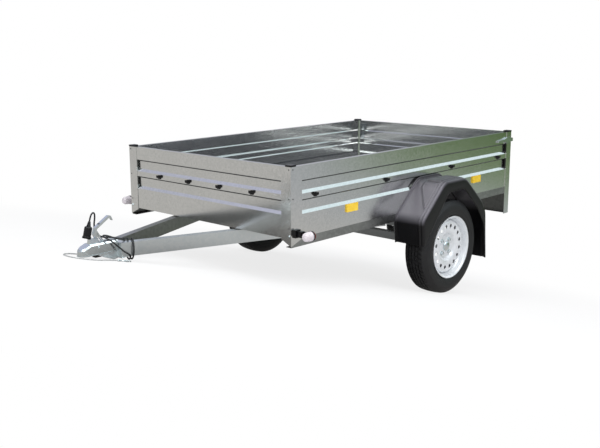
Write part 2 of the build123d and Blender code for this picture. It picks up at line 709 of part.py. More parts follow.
with BuildPart() as tail_lamps:
    for side in (1, -1):
        with BuildSketch(Plane.YZ.offset(-BOX_LENGTH)):
            with Locations((side * 500, 376)):
                RectangleRounded(220, 100, 8)
        extrude(amount=-LAMP_DEPTH)
finish(tail_lamps, "tail_lamps")

with BuildPart() as rear_reflectors:
    for side in (1, -1):
        with BuildSketch(Plane.YZ.offset(-BOX_LENGTH + SHEET)):
            with Locations((side * 300, 368)):
                RegularPolygon(80, 3, rotation=90)
        extrude(amount=-9)
finish(rear_reflectors, "rear_reflectors")

HOOK_Z = 698.5
FRONT_HOOKS = (-370, -123, 123, 370)
SIDE_HOOKS = (-179, -765, -1410, -1945)
# a hook's side view, as (stand-off from the wall, height): foot, neck and upturned lip
HOOK = [(0, -11), (5, -11), (6, -5), (14, -5), (18, 1), (17, 11), (13, 11), (12, 4), (5, 4), (4, 11), (0, 11)]


def rope_hook(plane):
    """Add to the open part one rope hook, standing on the plane's origin with its Y up the wall."""
    with BuildSketch(Plane(origin=plane.origin, x_dir=plane.z_dir, z_dir=-plane.x_dir)) as side_view:
        with BuildLine():
            Polyline(*HOOK, close=True)
        make_face()
    extrude(side_view.sketch, amount=9, both=True)


with BuildPart() as wall_hooks:
    for y in FRONT_HOOKS:
        rope_hook(Plane(origin=(-SHEET, y, HOOK_Z), x_dir=(0, 1, 0), z_dir=(1, 0, 0)))
    for side in (1, -1):
        for x in SIDE_HOOKS:
            rope_hook(Plane(origin=(x, side * side_face, HOOK_Z), x_dir=(-side, 0, 0), z_dir=(0, side, 0)))
finish(wall_hooks, "wall_hooks")

with BuildPart() as gate_hooks:
    for y in FRONT_HOOKS:
        rope_hook(Plane(origin=(gate_face, y, HOOK_Z), x_dir=(0, -1, 0), z_dir=(-1, 0, 0)))
finish(gate_hooks, "gate_hooks")

with BuildPart() as gate_brackets:  # plates inside the tailgate's upper corners
    for side in (1, -1):
        with BuildSketch(Plane.YZ.offset(gate_face + GROOVE_DEPTH + SHEET)):
            with Locations((side * 574, 748)):
                Rectangle(26, 50)
        extrude(amount=4)
        with BuildSketch(Plane.YZ.offset(gate_face + SHEET)):
            with Locations((side * 574, 806)):
                Rectangle(26, 46)
        extrude(amount=16)
finish(gate_brackets, "gate_brackets")

LATCH_Z = 802.0
# a latch's side view, as (x, height about its middle): the lever's tip, the drum, and the hook at the corner
LATCH = [
    (-1935, 3), (-1935, -9), (-1965, -11), (-2020, -8), (-2036, -22), (-2062, -26), (-2074, -12), (-2113, -12),
    (-2113, 10), (-2070, 16), (-2040, 18), (-2010, 8),
]
with BuildPart() as latches:
    for side in (1, -1):
        with BuildSketch(across(side * HALF)):
            with BuildLine():
                Polyline(*[(x, LATCH_Z + z) for x, z in LATCH], close=True)
            make_face()
        extrude(amount=-side * 9)
        with BuildSketch(Plane.YZ.offset(-BOX_LENGTH)):
            with Locations((side * (HALF - 12), LATCH_Z - 1)):
                Rectangle(42, 22)
        extrude(amount=-8)
finish(latches, "tailgate_latches")

# ---------------------------------------------------------------- tailgate hinges

with BuildPart() as hinge_brackets:
    for y in HINGE_YS:
        with BuildSketch(Plane.YZ.offset(-BOX_LENGTH + SHEET)):
            with Locations((y, HINGE_Z - 35)):
                Rectangle(80, 60)
        extrude(amount=-3)
        for ear in (-30, 30):
            with BuildSketch(across(y + ear + 8)):
                with Locations((HINGE_X, HINGE_Z)):
                    Circle(HINGE_BARREL)
                with Locations((HINGE_X + 6, HINGE_Z - 12)):
                    Rectangle(8, 18)
            extrude(amount=16)
        with BuildSketch(across(y + 38)):
            with Locations((HINGE_X, HINGE_Z)):
                Circle(HINGE_PIN)
        extrude(amount=76)
finish(hinge_brackets, "hinge_brackets")

with BuildPart() as hinge_knuckles:
    for y in HINGE_YS:
        with BuildSketch(across(y + 20)):
            with Locations((HINGE_X, HINGE_Z)):
                Circle(HINGE_BARREL)
            with Locations(((HINGE_X + gate_face) / 2 - 1.5, HINGE_Z + 22)):
                Rectangle(gate_face - HINGE_X - 3, 44)
            with Locations((HINGE_X, HINGE_Z)):
                Circle(HINGE_PIN + TURNING_GAP, mode=Mode.SUBTRACT)
        extrude(amount=40)
finish(hinge_knuckles, "hinge_knuckles")

# ---------------------------------------------------------------- parked stance
# The trailer has no stand: it rests on its tyres and on the front lip of the coupling's mouth.

rest_reach = nose_front + COUPLING_LIP - AXLE_X
rest_drop = COUPLING_RIM - HUB_Z
nose_down = degrees(asin(TYRE_RADIUS / hypot(rest_reach, rest_drop)) + atan2(rest_drop, rest_reach))
tilt = Location((0, 0, TYRE_RADIUS), (0, nose_down, 0)) * Location((-AXLE_X, 0, -HUB_Z))
CORD_LABELS = ("lead_cable", "lead_winding", "lead_plug")
rigid = [piece.part.moved(tilt) for label, piece in pieces.items() if label not in CORD_LABELS]
tilted_box = Compound(rigid).bounding_box()
parked = Location((-tilted_box.center().X, 0, 0)) * tilt
print("nose down", nose_down, "degrees; shift", -tilted_box.center().X, "box", tilted_box)
for piece in pieces.values():
    piece.part.move(parked)

# ---------------------------------------------------------------- safety wire, laid on the floor
# Parked frame: X forward from the middle of the footprint, Z up from the floor.

WIRE_Z = WIRE_DIAMETER / 2 + 0.3
SLEEVE_RADIUS = 5.0
SLEEVE_Z = SLEEVE_RADIUS + 0.2
SLEEVE_ENDS = (1258.0, 1276.0)
HOOK_Y = 84.0
HOOK_LENGTH = 60.0
anchor_exit = (parked * Location((690, -14, 436))).position
around_nose = [
    anchor_exit, anchor_exit + Vector(0, -26, 0), (1352, -62, 6), (1376, -82, WIRE_Z), (1420, -88, WIRE_Z),
    (1466, -76, WIRE_Z), (1503, -42, WIRE_Z), (1512, 12, WIRE_Z), (1488, 58, WIRE_Z), (1440, 84, WIRE_Z),
    (1386, 93, WIRE_Z), (1334, HOOK_Y + 2, SLEEVE_Z), (1306, HOOK_Y, SLEEVE_Z), (SLEEVE_ENDS[1], HOOK_Y, SLEEVE_Z),
]
with BuildPart() as safety_wire:
    cord_tube([around_nose], WIRE_DIAMETER)
finish(safety_wire, "safety_wire")

with BuildPart() as wire_sleeve:
    with BuildSketch(Plane.YZ.offset(SLEEVE_ENDS[0])):
        with Locations((HOOK_Y, SLEEVE_Z)):
            Circle(SLEEVE_RADIUS)
    extrude(amount=SLEEVE_ENDS[1] - SLEEVE_ENDS[0])
finish(wire_sleeve, "wire_sleeve")

with BuildPart() as safety_hook:
    with BuildSketch(Plane.XY.offset(0.3)):
        with Locations((SLEEVE_ENDS[0] - HOOK_LENGTH / 2, HOOK_Y)):
            SlotOverall(HOOK_LENGTH, 24)
            SlotOverall(HOOK_LENGTH - 12, 12, mode=Mode.SUBTRACT)
    extrude(amount=6)
finish(safety_hook, "safety_hook")

for label, piece in pieces.items():
    export_step(piece.part, f"parts/{label}.step")
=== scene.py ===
# %% [markdown]
# # A galvanised utility trailer
# The solids come from the imported model: sheet walls, drawbar, wheels, lamps. This lesson dresses
# them. It gives every solid a finish made from nodes, and adds what was too fine for the solids:
# tread blocks, pressed wheels, bolts, rivets, ribbed lenses, and the soft lead and safety wire.
# We load the model first, because dressing must never change its size.

# %% Load the model
import json
import math

import bpy
import numpy as np
from mathutils import Matrix, Vector


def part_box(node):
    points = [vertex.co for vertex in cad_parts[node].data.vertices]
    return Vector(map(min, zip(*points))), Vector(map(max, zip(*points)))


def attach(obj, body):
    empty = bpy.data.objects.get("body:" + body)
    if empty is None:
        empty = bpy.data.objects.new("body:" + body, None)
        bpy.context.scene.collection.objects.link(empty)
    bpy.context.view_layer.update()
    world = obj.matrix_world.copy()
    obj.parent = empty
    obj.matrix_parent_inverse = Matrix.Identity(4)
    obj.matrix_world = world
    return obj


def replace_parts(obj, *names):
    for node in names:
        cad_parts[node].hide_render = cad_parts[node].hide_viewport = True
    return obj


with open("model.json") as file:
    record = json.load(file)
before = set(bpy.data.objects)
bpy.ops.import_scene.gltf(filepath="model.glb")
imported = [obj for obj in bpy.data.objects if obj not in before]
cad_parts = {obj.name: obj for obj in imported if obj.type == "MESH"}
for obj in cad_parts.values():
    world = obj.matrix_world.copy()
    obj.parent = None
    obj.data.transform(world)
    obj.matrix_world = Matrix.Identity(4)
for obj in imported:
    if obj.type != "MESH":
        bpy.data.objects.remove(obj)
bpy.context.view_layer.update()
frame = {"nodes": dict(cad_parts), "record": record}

# %% [markdown]
# ## Parked nose down
# The trailer rests on its two tyres and its coupling, so everything leans forward by 13 degrees.
# It is far easier to think about it standing level. So we keep two sets of coordinates: level ones
# in millimetres (X forward from the front wall, Y to the left, Z above the road) and the parked
# ones in metres that the model uses. One matrix takes us from the first to the second.

# %% Level millimetres to parked metres
AXLE_X = -1171.0
TYRE_RADIUS = 274.0
METRES_PER_MM = 0.001
NOSE_DOWN = math.radians(13.111443750006744)

wheel_low, wheel_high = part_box("tyre_left")
parked_axle = Vector(((wheel_low[0] + wheel_high[0]) / 2, 0.0, (wheel_low[2] + wheel_high[2]) / 2))
LEVEL_TO_PARKED = (
    Matrix.Translation(parked_axle)
    @ Matrix.Rotation(NOSE_DOWN, 4, "Y")
    @ Matrix.Diagonal((METRES_PER_MM, METRES_PER_MM, METRES_PER_MM, 1.0))
    @ Matrix.Translation((-AXLE_X, 0.0, -TYRE_RADIUS))
)


def park(points):
    """Move rows of level millimetres to parked metres: multiply by the matrix, then shift."""
    rows = np.asarray(points, dtype=float)
    matrix = np.array(LEVEL_TO_PARKED)
    return rows @ matrix[:3, :3].T + matrix[:3, 3]


print("axle at", parked_axle, "front wall foot at", park([(0, 0, 496)])[0])

# %% [markdown]
# ## The camera
# The view is a three-quarter one from the front left, a little above the box. The lens is long,
# so that the long box keeps its proportions. We write the camera for the level trailer and let the
# same matrix lean it with the trailer.

# %% Camera
VIEW_AZIMUTH = math.radians(43.740541372492)
VIEW_HEIGHT = math.radians(11.483464548191494)
VIEW_ROLL = math.radians(-0.4116619)
VIEW_DISTANCE = 5080.9
VIEW_TARGET = Vector((-600.0, 0.0, 450.0))
SENSOR_WIDTH = 36.0
PICTURE = (600, 448)
FOCAL_PIXELS = 865.138
PICTURE_CENTRE = (281.1278, 213.3592)

look = -Vector((
    math.cos(VIEW_HEIGHT) * math.cos(VIEW_AZIMUTH),
    math.cos(VIEW_HEIGHT) * math.sin(VIEW_AZIMUTH),
    math.sin(VIEW_HEIGHT),
))
side = look.cross(Vector((0, 0, 1))).normalized()
top = side.cross(look)
camera_right = math.cos(VIEW_ROLL) * side + math.sin(VIEW_ROLL) * top
camera_up = -math.sin(VIEW_ROLL) * side + math.cos(VIEW_ROLL) * top

camera_data = bpy.data.cameras.new("camera")
camera_data.sensor_width = SENSOR_WIDTH
camera_data.lens = FOCAL_PIXELS * SENSOR_WIDTH / PICTURE[0]
camera_data.shift_x = (PICTURE[0] / 2 - PICTURE_CENTRE[0]) / PICTURE[0]
camera_data.shift_y = (PICTURE_CENTRE[1] - PICTURE[1] / 2) / PICTURE[0]
camera_data.clip_end = 60.0
camera = bpy.data.objects.new("camera", camera_data)
bpy.context.collection.objects.link(camera)
turn = LEVEL_TO_PARKED.to_3x3() * 1000
camera_place = LEVEL_TO_PARKED @ (VIEW_TARGET - look * VIEW_DISTANCE)
camera_turn = turn @ Matrix((camera_right, camera_up, -look)).transposed()
camera.matrix_world = Matrix.Translation(camera_place) @ camera_turn.to_4x4()
bpy.context.scene.camera = camera
print("camera at", camera.matrix_world.translation, "lens", camera_data.lens)

# %% [markdown]
# ## A white studio
# A white floor catches the shadow. The camera sees floor and world as plain white, also through
# clear lenses, while the light that they send on to other things stays soft. Galvanised steel is
# nearly a mirror, and in plain white it would vanish. So shiny surfaces are shown something else:
# a yard with pale ground, a band of trees towards the rear, and a bright sky.

# %% Node helper and colours


def linear(hex_colour):
    """sRGB hex to linear light: c/12.92 below 0.04045, else ((c + 0.055)/1.055) to the power 2.4."""
    channels = [int(hex_colour[i:i + 2], 16) / 255 for i in (1, 3, 5)]
    return [c / 12.92 if c <= 0.04045 else ((c + 0.055) / 1.055) ** 2.4 for c in channels] + [1.0]


def add_node(tree, kind, links=None, settings=None, **inputs):
    """Add one node. settings: its properties; inputs: its sockets by name; links: sockets to join."""
    node = tree.nodes.new(kind)
    for name, value in (settings or {}).items():
        setattr(node, name, value)
    for name, value in inputs.items():
        node.inputs[name.replace("_", " ")].default_value = value
    for name, source in (links or {}).items():
        tree.links.new(source, node.inputs[name])
    return node


def new_tree(name):
    """Make an empty material and return it with its node tree."""
    material = bpy.data.materials.new(name)
    material.use_nodes = True
    material.node_tree.nodes.clear()
    return material, material.node_tree


print("paper white is", linear("#ffffff"))

# %% [markdown]
# The world is one tree of nodes. What a ray sees depends on its kind: the camera's see plain white,
# those that steel throws back see the yard, and the rest bring a soft even light.

# %% The yard that steel mirrors
bpy.context.scene.view_settings.view_transform = "Standard"
SKY_STRENGTH = 1.08
SMOOTH = {"interpolation_type": "SMOOTHSTEP"}
# What steel mirrors depends on the ray's direction, of length 1. Each row: a thing in the yard, the
# part of the direction that tells, and the values of that part where the thing starts and is whole.
YARD = (
    ("rearward", "X", -0.735, -0.81),
    ("far_side", "Y", -0.05, -0.5),
    ("above_ground", "Z", 0.0, 0.05),
    ("tree_tops", "Z", 0.04, 0.11),
    ("upward", "Z", 0.24, 0.62),
)

world = bpy.data.worlds.new("studio")
bpy.context.scene.world = world
world.use_nodes = True
sky = world.node_tree
sky.nodes.clear()

direction = add_node(sky, "ShaderNodeTexCoord").outputs["Generated"]
part_of = add_node(sky, "ShaderNodeSeparateXYZ", {"Vector": direction}).outputs
share_of = {}
for thing, part, start, whole in YARD:
    share = add_node(sky, "ShaderNodeMapRange", {"Value": part_of[part]},
                     SMOOTH, From_Min=start, From_Max=whole)
    share_of[thing] = share.outputs[0]
tree_share = add_node(sky, "ShaderNodeMath", {0: share_of["rearward"], 1: share_of["above_ground"]},
                      {"operation": "MULTIPLY"})
# from the ground up: pale ground and walls, trees at the rear, then a sky that is dimmer and more
# violet on the far side
trees = add_node(sky, "ShaderNodeMixRGB", {"Fac": share_of["tree_tops"]}, None,
                 Color1=linear("#6f8656"), Color2=linear("#4d643c"))
low_yard = add_node(sky, "ShaderNodeMixRGB", {
    "Fac": tree_share.outputs[0], "Color2": trees.outputs[0]}, None, Color1=linear("#b1b3b8"))
high_sky = add_node(sky, "ShaderNodeMixRGB", {"Fac": share_of["far_side"]}, None,
                    Color1=[SKY_STRENGTH * c for c in linear("#e6f6fb")[:3]] + [1.0],
                    Color2=linear("#c3c5da"))
yard = add_node(sky, "ShaderNodeMixRGB", {
    "Fac": share_of["upward"], "Color1": low_yard.outputs[0], "Color2": high_sky.outputs[0]})
print("the yard shows", list(share_of))

# %% What each kind of ray sees
WORLD_STRENGTH = 0.62
seen = add_node(sky, "ShaderNodeLightPath").outputs
direct = add_node(sky, "ShaderNodeMath", {0: seen["Is Camera Ray"], 1: seen["Is Transmission Ray"]},
                  {"operation": "MAXIMUM"})
mirrored_yard = add_node(sky, "ShaderNodeBackground", {"Color": yard.outputs[0]}, None, Strength=1.0)
soft = add_node(sky, "ShaderNodeBackground", Color=linear("#f2f5fa"), Strength=WORLD_STRENGTH)
plain = add_node(sky, "ShaderNodeBackground", Color=linear("#ffffff"), Strength=1.0)
by_steel = add_node(sky, "ShaderNodeMixShader", {
    0: seen["Is Glossy Ray"], 1: soft.outputs[0], 2: mirrored_yard.outputs[0]})
by_camera = add_node(sky, "ShaderNodeMixShader", {
    0: direct.outputs[0], 1: by_steel.outputs[0], 2: plain.outputs[0]})
add_node(sky, "ShaderNodeOutputWorld", {"Surface": by_camera.outputs[0]})
print("world of", len(sky.nodes), "nodes")

# %% [markdown]
# The floor is a sheet of paper. Near the trailer the camera sees a little of its shaded surface,
# and further off plain white. Steel mirrors a grey floor instead, so that faces turned to the sky
# stand out from upright ones, and a dark patch below the trailer, where its own shadow lies.

# %% Floor
FLOOR_HALF = 9.0
# distances from the trailer's middle in metres, between which the shadow fades out
FADE_START, FADE_END = 1.6, 3.2
WHITE_NEAR = 0.80
# the same for the dark patch that steel mirrors, in metres once it is squashed to an oval
PATCH_START, PATCH_END = 0.75, 1.3
PATCH_OVAL = (0.8, 1.3, 1.0)
PATCH_LIGHT, MIRRORED_FLOOR = 0.10, 0.54

floor_mesh = bpy.data.meshes.new("studio_floor")
floor_mesh.from_pydata(
    [(x * FLOOR_HALF, y * FLOOR_HALF, 0) for x, y in ((-1, -1), (1, -1), (1, 1), (-1, 1))],
    [], [(0, 1, 2, 3)])
studio_floor = bpy.data.objects.new("studio_floor", floor_mesh)
bpy.context.collection.objects.link(studio_floor)

paper, tree = new_tree("white paper floor")
path = add_node(tree, "ShaderNodeLightPath").outputs
place = add_node(tree, "ShaderNodeTexCoord").outputs["Object"]
shade = add_node(tree, "ShaderNodeBsdfDiffuse", Color=linear("#e9e9ea"))
white = add_node(tree, "ShaderNodeEmission", Color=linear("#ffffff"), Strength=1.0)
distance = add_node(tree, "ShaderNodeVectorMath", {0: place}, {"operation": "LENGTH"})
fade = add_node(tree, "ShaderNodeMapRange", {"Value": distance.outputs["Value"]},
                SMOOTH, From_Min=FADE_START, From_Max=FADE_END, To_Min=WHITE_NEAR, To_Max=1.0)
white_share = add_node(tree, "ShaderNodeMath", {0: path["Is Camera Ray"], 1: fade.outputs[0]},
                       {"operation": "MULTIPLY"})
by_camera = add_node(tree, "ShaderNodeMixShader", {
    0: white_share.outputs[0], 1: shade.outputs[0], 2: white.outputs[0]})
oval = add_node(tree, "ShaderNodeMapping", {"Vector": place}, None, Scale=PATCH_OVAL)
oval_distance = add_node(tree, "ShaderNodeVectorMath", {0: oval.outputs[0]}, {"operation": "LENGTH"})
patch = add_node(tree, "ShaderNodeMapRange", {"Value": oval_distance.outputs["Value"]}, SMOOTH,
                 From_Min=PATCH_START, From_Max=PATCH_END, To_Min=PATCH_LIGHT, To_Max=MIRRORED_FLOOR)
mirrored = add_node(tree, "ShaderNodeEmission", {"Strength": patch.outputs[0]}, None,
                    Color=linear("#fbf8f4"))
by_steel = add_node(tree, "ShaderNodeMixShader", {
    0: path["Is Glossy Ray"], 1: by_camera.outputs[0], 2: mirrored.outputs[0]})
add_node(tree, "ShaderNodeOutputMaterial", {"Surface": by_steel.outputs[0]})
floor_mesh.materials.append(paper)
print("floor half a side", FLOOR_HALF)

# %% [markdown]
# Three soft boxes light the trailer: a broad one overhead, a fill before the nose, and a key lamp
# on the left that brings out the folds of the mudguard.

# %% Lamps


def soft_box(name, place, aim, width, height, watts):
    """One rectangular area lamp, turned so that it looks from its place at its aim."""
    data = bpy.data.lights.new(name, "AREA")
    data.shape = "RECTANGLE"
    data.size, data.size_y, data.energy = width, height, watts
    lamp = bpy.data.objects.new(name, data)
    lamp.location = place
    lamp.rotation_euler = (Vector(aim) - Vector(place)).to_track_quat("-Z", "Y").to_euler()
    bpy.context.collection.objects.link(lamp)
    print(name, watts, "W")


# name, place and aim in metres, width, height, watts
soft_box("overhead", (0.5, 0.5, 4.6), (0.2, 0, 0.4), 4.5, 4.0, 110)
soft_box("front_fill", (4.6, 1.0, 2.4), (0.4, 0, 0.5), 2.5, 2.5, 60)
soft_box("key", (1.25, 3.8, 3.8), (-0.22, 0.64, 0.55), 2.3, 2.3, 70)

# %% [markdown]
# ## Finishes
# A finish starts from what the real thing is made of and how its surface was made. Steel sheet is
# galvanised: dipped zinc freezes into flat crystals, each a slightly different grey. The drawbar
# has a duller hot-dip coat, the coupling bright zinc plate. Mudguards are moulded plastic with a
# fine leather-like grain. One recipe serves most of them: a fine pattern that changes colour and
# roughness a little, a coarse one that makes broad light and dark areas, and a fine bump.

# %% One recipe for finishes
SLOT_OF_FINISH = {}
BROAD_SHARE = 0.55
RAMP_START, RAMP_END = 0.25, 0.75
BUMP_STRENGTH = 0.6


def finish_from(name, slot, dark, light, metallic, roughness, fine_mm, broad_mm, bump_mm,
                kind="noise", coat=0.0, spread=0.12, specular=0.5):
    """A finish between two hex colours: a fine pattern mixed with a broad one, both on Object coordinates."""
    material, tree = new_tree(name)
    SLOT_OF_FINISH[name] = slot
    place = {"Vector": add_node(tree, "ShaderNodeTexCoord").outputs["Object"]}
    if kind == "spangle":
        cells = add_node(tree, "ShaderNodeTexVoronoi", place, Scale=1000 / fine_mm, Randomness=1.0)
        level = add_node(tree, "ShaderNodeSeparateColor", {"Color": cells.outputs["Color"]}).outputs[0]
    else:
        grain = add_node(tree, "ShaderNodeTexNoise", place, Scale=1000 / fine_mm, Detail=3.0, Roughness=0.6)
        level = grain.outputs[0]
    broad = add_node(tree, "ShaderNodeTexNoise", place, Scale=1000 / broad_mm, Detail=2.0)
    both = add_node(tree, "ShaderNodeMix", {"A": level, "B": broad.outputs[0]}, Factor=BROAD_SHARE)
    shades = add_node(tree, "ShaderNodeValToRGB", {"Fac": both.outputs[0]})
    for stop, position, colour in zip(shades.color_ramp.elements, (RAMP_START, RAMP_END), (dark, light)):
        stop.position, stop.color = position, linear(colour)
    rough = add_node(tree, "ShaderNodeMapRange", {"Value": both.outputs[0]}, None,
                     To_Min=roughness - spread / 2, To_Max=roughness + spread / 2)
    bump = add_node(tree, "ShaderNodeBump", {"Height": level}, Distance=bump_mm / 1000,
                    Strength=BUMP_STRENGTH)
    shader = add_node(tree, "ShaderNodeBsdfPrincipled", {
        "Base Color": shades.outputs[0], "Roughness": rough.outputs[0], "Normal": bump.outputs[0],
    }, None, Metallic=metallic, Coat_Weight=coat, Specular_IOR_Level=specular)
    add_node(tree, "ShaderNodeOutputMaterial", {"Surface": shader.outputs[0]})
    return material


print("share of the broad pattern", BROAD_SHARE)

# %% [markdown]
# Zinc is a tinted mirror. Its two colours are close together and light, and the roughness decides
# how far the mirrored yard is blurred. Only the springs are painted, in black.

# %% Zinc and spring paint
# Each finish: name, slot, dark and light colour, metallic, roughness, then the sizes of the fine
# and the broad pattern and the height of the bump in millimetres.
# Rolled sheet, hot-dip galvanised: a mirror broken up by flat zinc crystals some 8 mm across.
galvanised_sheet = finish_from(
    "galvanised sheet", "galvanised_sheet", "#e0e2e1", "#ebeceb", 1.0, 0.18, 8, 300, 0.001,
    "spangle", spread=0.06)
# Sections dipped after welding: a thicker, duller coat with larger crystals.
galvanised_section = finish_from(
    "hot-dip galvanised section", "galvanised_steel", "#ebf3f6", "#f4fafc", 1.0, 0.30, 14, 160, 0.001,
    "spangle", spread=0.04)
# The same coat darkened as painted shade, on the parts that look down at the road or stand in the shade of
# the box.
painted_shade_zinc = finish_from(
    "galvanised section darkened as painted shade", "galvanised_steel", "#9b9d9c", "#aeb0af", 1.0, 0.36, 14, 160, 0.005,
    "spangle", spread=0.08)
# Dark, dull zinc: the rivet heads, and painted shade along the folds under the grooves' upper edges.
dull_zinc_and_fold_shade = finish_from(
    "dull zinc and painted fold shade", "galvanised_sheet", "#484a49", "#5c5e5c", 0.8, 0.50, 6, 80, 0.01)
# Spring leaves: black paint over scale.
spring_paint = finish_from(
    "black spring paint", "spring_steel", "#121212", "#242424", 0.0, 0.55, 3, 60, 0.05)
# Pressings and castings with blue-white passivated zinc plate.
zinc_plate = finish_from(
    "blue-white zinc plate", "zinc_plate", "#d8e2e5", "#ebf1f2", 1.0, 0.22, 2, 40, 0.006)
print("finishes so far:", list(SLOT_OF_FINISH))

# %% [markdown]
# Plastic, rubber and wood are not metallic: light that went in comes out tinted, and a thin shine
# on top mirrors a little of the yard. So their own colour matters most.

# %% Plastics, rubber, wood and lenses
# Caps, hooks and fittings: polypropylene, moulded with a fine grain.
black_plastic = finish_from(
    "moulded black polypropylene", "black_plastic", "#0b0b0d", "#131316", 0.0, 0.30, 1.6, 90, 0.02,
    specular=0.36)
# The same plastic on the mudguards, lightened to grey by a painted highlight where a point attribute says so.
guard_plastic = finish_from(
    "black polypropylene with painted highlight", "black_plastic", "#0b0b0d", "#131316", 0.0, 0.34, 1.6, 90, 0.02,
    specular=0.36)
guard_tree = guard_plastic.node_tree
guard_shader = next(node for node in guard_tree.nodes if node.type == "BSDF_PRINCIPLED")
own_black = guard_shader.inputs["Base Color"].links[0].from_socket
# a lighter grey mixed in where the points ask for it: painted highlight
painted_highlight = add_node(guard_tree, "ShaderNodeAttribute", None, {"attribute_name": "painted_highlight"})
highlighted = add_node(guard_tree, "ShaderNodeMixRGB", {"Fac": painted_highlight.outputs["Fac"], "Color1": own_black}, None,
                Color2=linear("#6a676e"))
guard_tree.links.new(highlighted.outputs[0], guard_shader.inputs["Base Color"])
# Film-faced plywood floor: grey-black phenol film, pressed with a fine mesh.
film_plywood = finish_from(
    "film-faced plywood", "plywood", "#28282b", "#3d3d43", 0.0, 0.34, 2.5, 180, 0.05)
# Tyre: carbon-black rubber, dull.
tyre_rubber = finish_from(
    "carbon-black tyre rubber", "tyre_rubber", "#0f0f11", "#1f1f21", 0.0, 0.58, 2, 45, 0.10)
# Wheel: silver stoving enamel, fine metal flake under clear lacquer.
silver_enamel = finish_from(
    "silver stoving enamel", "silver_enamel", "#dde0e3", "#f4f6f8", 0.20, 0.28, 0.8, 80, 0.005, coat=0.3)
# Cable sheath: soft rubber.
cable_rubber = finish_from(
    "rubber cable sheath", "cable_rubber", "#0e0e10", "#1c1c1f", 0.0, 0.48, 1.5, 30, 0.03)
# Wire rope in a clear grey PVC coat.
coated_wire = finish_from(
    "grey PVC coated wire", "coated_wire", "#a6a8a8", "#c3c4c3", 0.2, 0.35, 2, 20, 0.05)
# Lenses: moulded acrylic with prisms behind.
amber_lens = finish_from(
    "amber reflex acrylic", "amber_lens", "#f2bc12", "#ffe052", 0.0, 0.16, 3, 30, 0.05)
red_lens = finish_from(
    "red acrylic", "red_lens", "#7d0a0c", "#b01216", 0.0, 0.15, 3, 30, 0.10)
clear_lens = finish_from(
    "clear ribbed acrylic", "clear_lens", "#cbc3c7", "#e6dfe3", 0.0, 0.14, 3, 30, 0.05)

print(len(SLOT_OF_FINISH), "finishes in all")

# %% [markdown]
# The model's record says which slot each solid belongs to, so one loop can dress them all. Parts
# that look down or stand in the box's shade get a darker copy, painted shade, instead of the bright coat.

# %% Dress the solids
FINISH_OF_SLOT = {SLOT_OF_FINISH[finish.name]: finish for finish in (
    galvanised_sheet, galvanised_section, spring_paint, zinc_plate, black_plastic, film_plywood, tyre_rubber,
    silver_enamel, cable_rubber, coated_wire, amber_lens, red_lens, clear_lens)}
# the parts that get the darker copy of the coat: painted shade
PAINTED_SHADE_PARTS = ("side_rail_left", "side_rail_right", "cross_members", "drawbar_beam_right", "light_board")
for part in frame["record"]["subparts"]:
    node = frame["nodes"][part["node"]]
    in_painted_shade = part["node"] in PAINTED_SHADE_PARTS
    finish = painted_shade_zinc if in_painted_shade else FINISH_OF_SLOT[part["material_slot"]]
    node.data.materials.clear()
    node.data.materials.append(finish)

# %% [markdown]
# ## Building surfaces with numpy
# Every new shape below is a grid of points worked out as whole arrays: a profile turned about an
# axis, or a section carried along a path. These few helpers turn such arrays into meshes, and
# give each new piece its body and its finish in one go.

# %% Mesh helpers
SHARP_ANGLE = math.radians(38)


def grid_faces(rows, columns, close_rows=False, close_columns=False):
    """Quads of a rows by columns grid: point (i, j) joins (i, j+1), (i+1, j+1) and (i+1, j)."""
    last_row, last_column = rows - (not close_rows), columns - (not close_columns)
    i, j = np.divmod(np.arange(last_row * last_column), last_column)
    k, m = (i + 1) % rows, (j + 1) % columns
    return np.stack([i * columns + j, i * columns + m, k * columns + m, k * columns + j], axis=1)


def make_piece(name, vertices, faces, finish, body="chassis", smooth=True, flip=False):
    """Put points (parked metres) and faces into a mesh that rides on its body; flip turns its faces over."""
    vertices = np.asarray(vertices, dtype=float).reshape(-1, 3)
    faces = [tuple(map(int, face))[::(-1 if flip else 1)] for face in faces]
    mesh = bpy.data.meshes.new(name)
    mesh.from_pydata(vertices.tolist(), [], faces)
    mesh.polygons.foreach_set("use_smooth", np.full(len(faces), smooth))
    mesh.materials.append(finish)
    mesh.set_sharp_from_angle(angle=SHARP_ANGLE)
    mesh.update()
    piece = bpy.data.objects.new(name, mesh)
    bpy.context.collection.objects.link(piece)
    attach(piece, body)
    return piece


def joined(parts):
    """Join (points, faces) pairs into one pair: shift each part's faces by the points before it."""
    points, faces, start = [], [], 0
    for vertices, quads in parts:
        vertices = np.asarray(vertices, dtype=float).reshape(-1, 3)
        points.append(vertices)
        faces += [tuple(int(index) + start for index in quad) for quad in quads]
        start += len(vertices)
    return np.concatenate(points), faces


print("a 3 by 4 grid has", len(grid_faces(3, 4)), "quads")

# %% [markdown]
# ## The lead and the safety wire
# The lamps' lead is a limp black rubber cable. It leaves a gland on the left beam, is wound round
# the beam, hangs out in one loose loop, comes back round the beam, and ends in the plug, which
# stands on the coupling. Out of its points Blender makes one smooth NURBS curve. The winding's
# turns come from the formula of an ellipse round the beam. The safety wire is a springy steel rope
# in a grey coat. It is fixed under the coupling, lies in one bow on the ground before it, and ends
# in a hook.

# %% Places along the left beam
BEAM_ANGLE = math.radians(20.1)
BEAM_WIDTH = 40.0
BEAM_SPREAD = 269.0
WINDING_X = 526.0
TURN_MIDDLE = (1.0, 452.0)
TURN_HALF_WIDTH, TURN_HALF_HEIGHT = 36.5, 52.5
beam_forward = np.array([math.cos(BEAM_ANGLE), -math.sin(BEAM_ANGLE), 0.0])
beam_outward = np.array([math.sin(BEAM_ANGLE), math.cos(BEAM_ANGLE), 0.0])
winding_middle = np.array([
    WINDING_X,
    BEAM_SPREAD - WINDING_X * math.tan(BEAM_ANGLE) - BEAM_WIDTH / 2 / math.cos(BEAM_ANGLE),
    0.0,
])


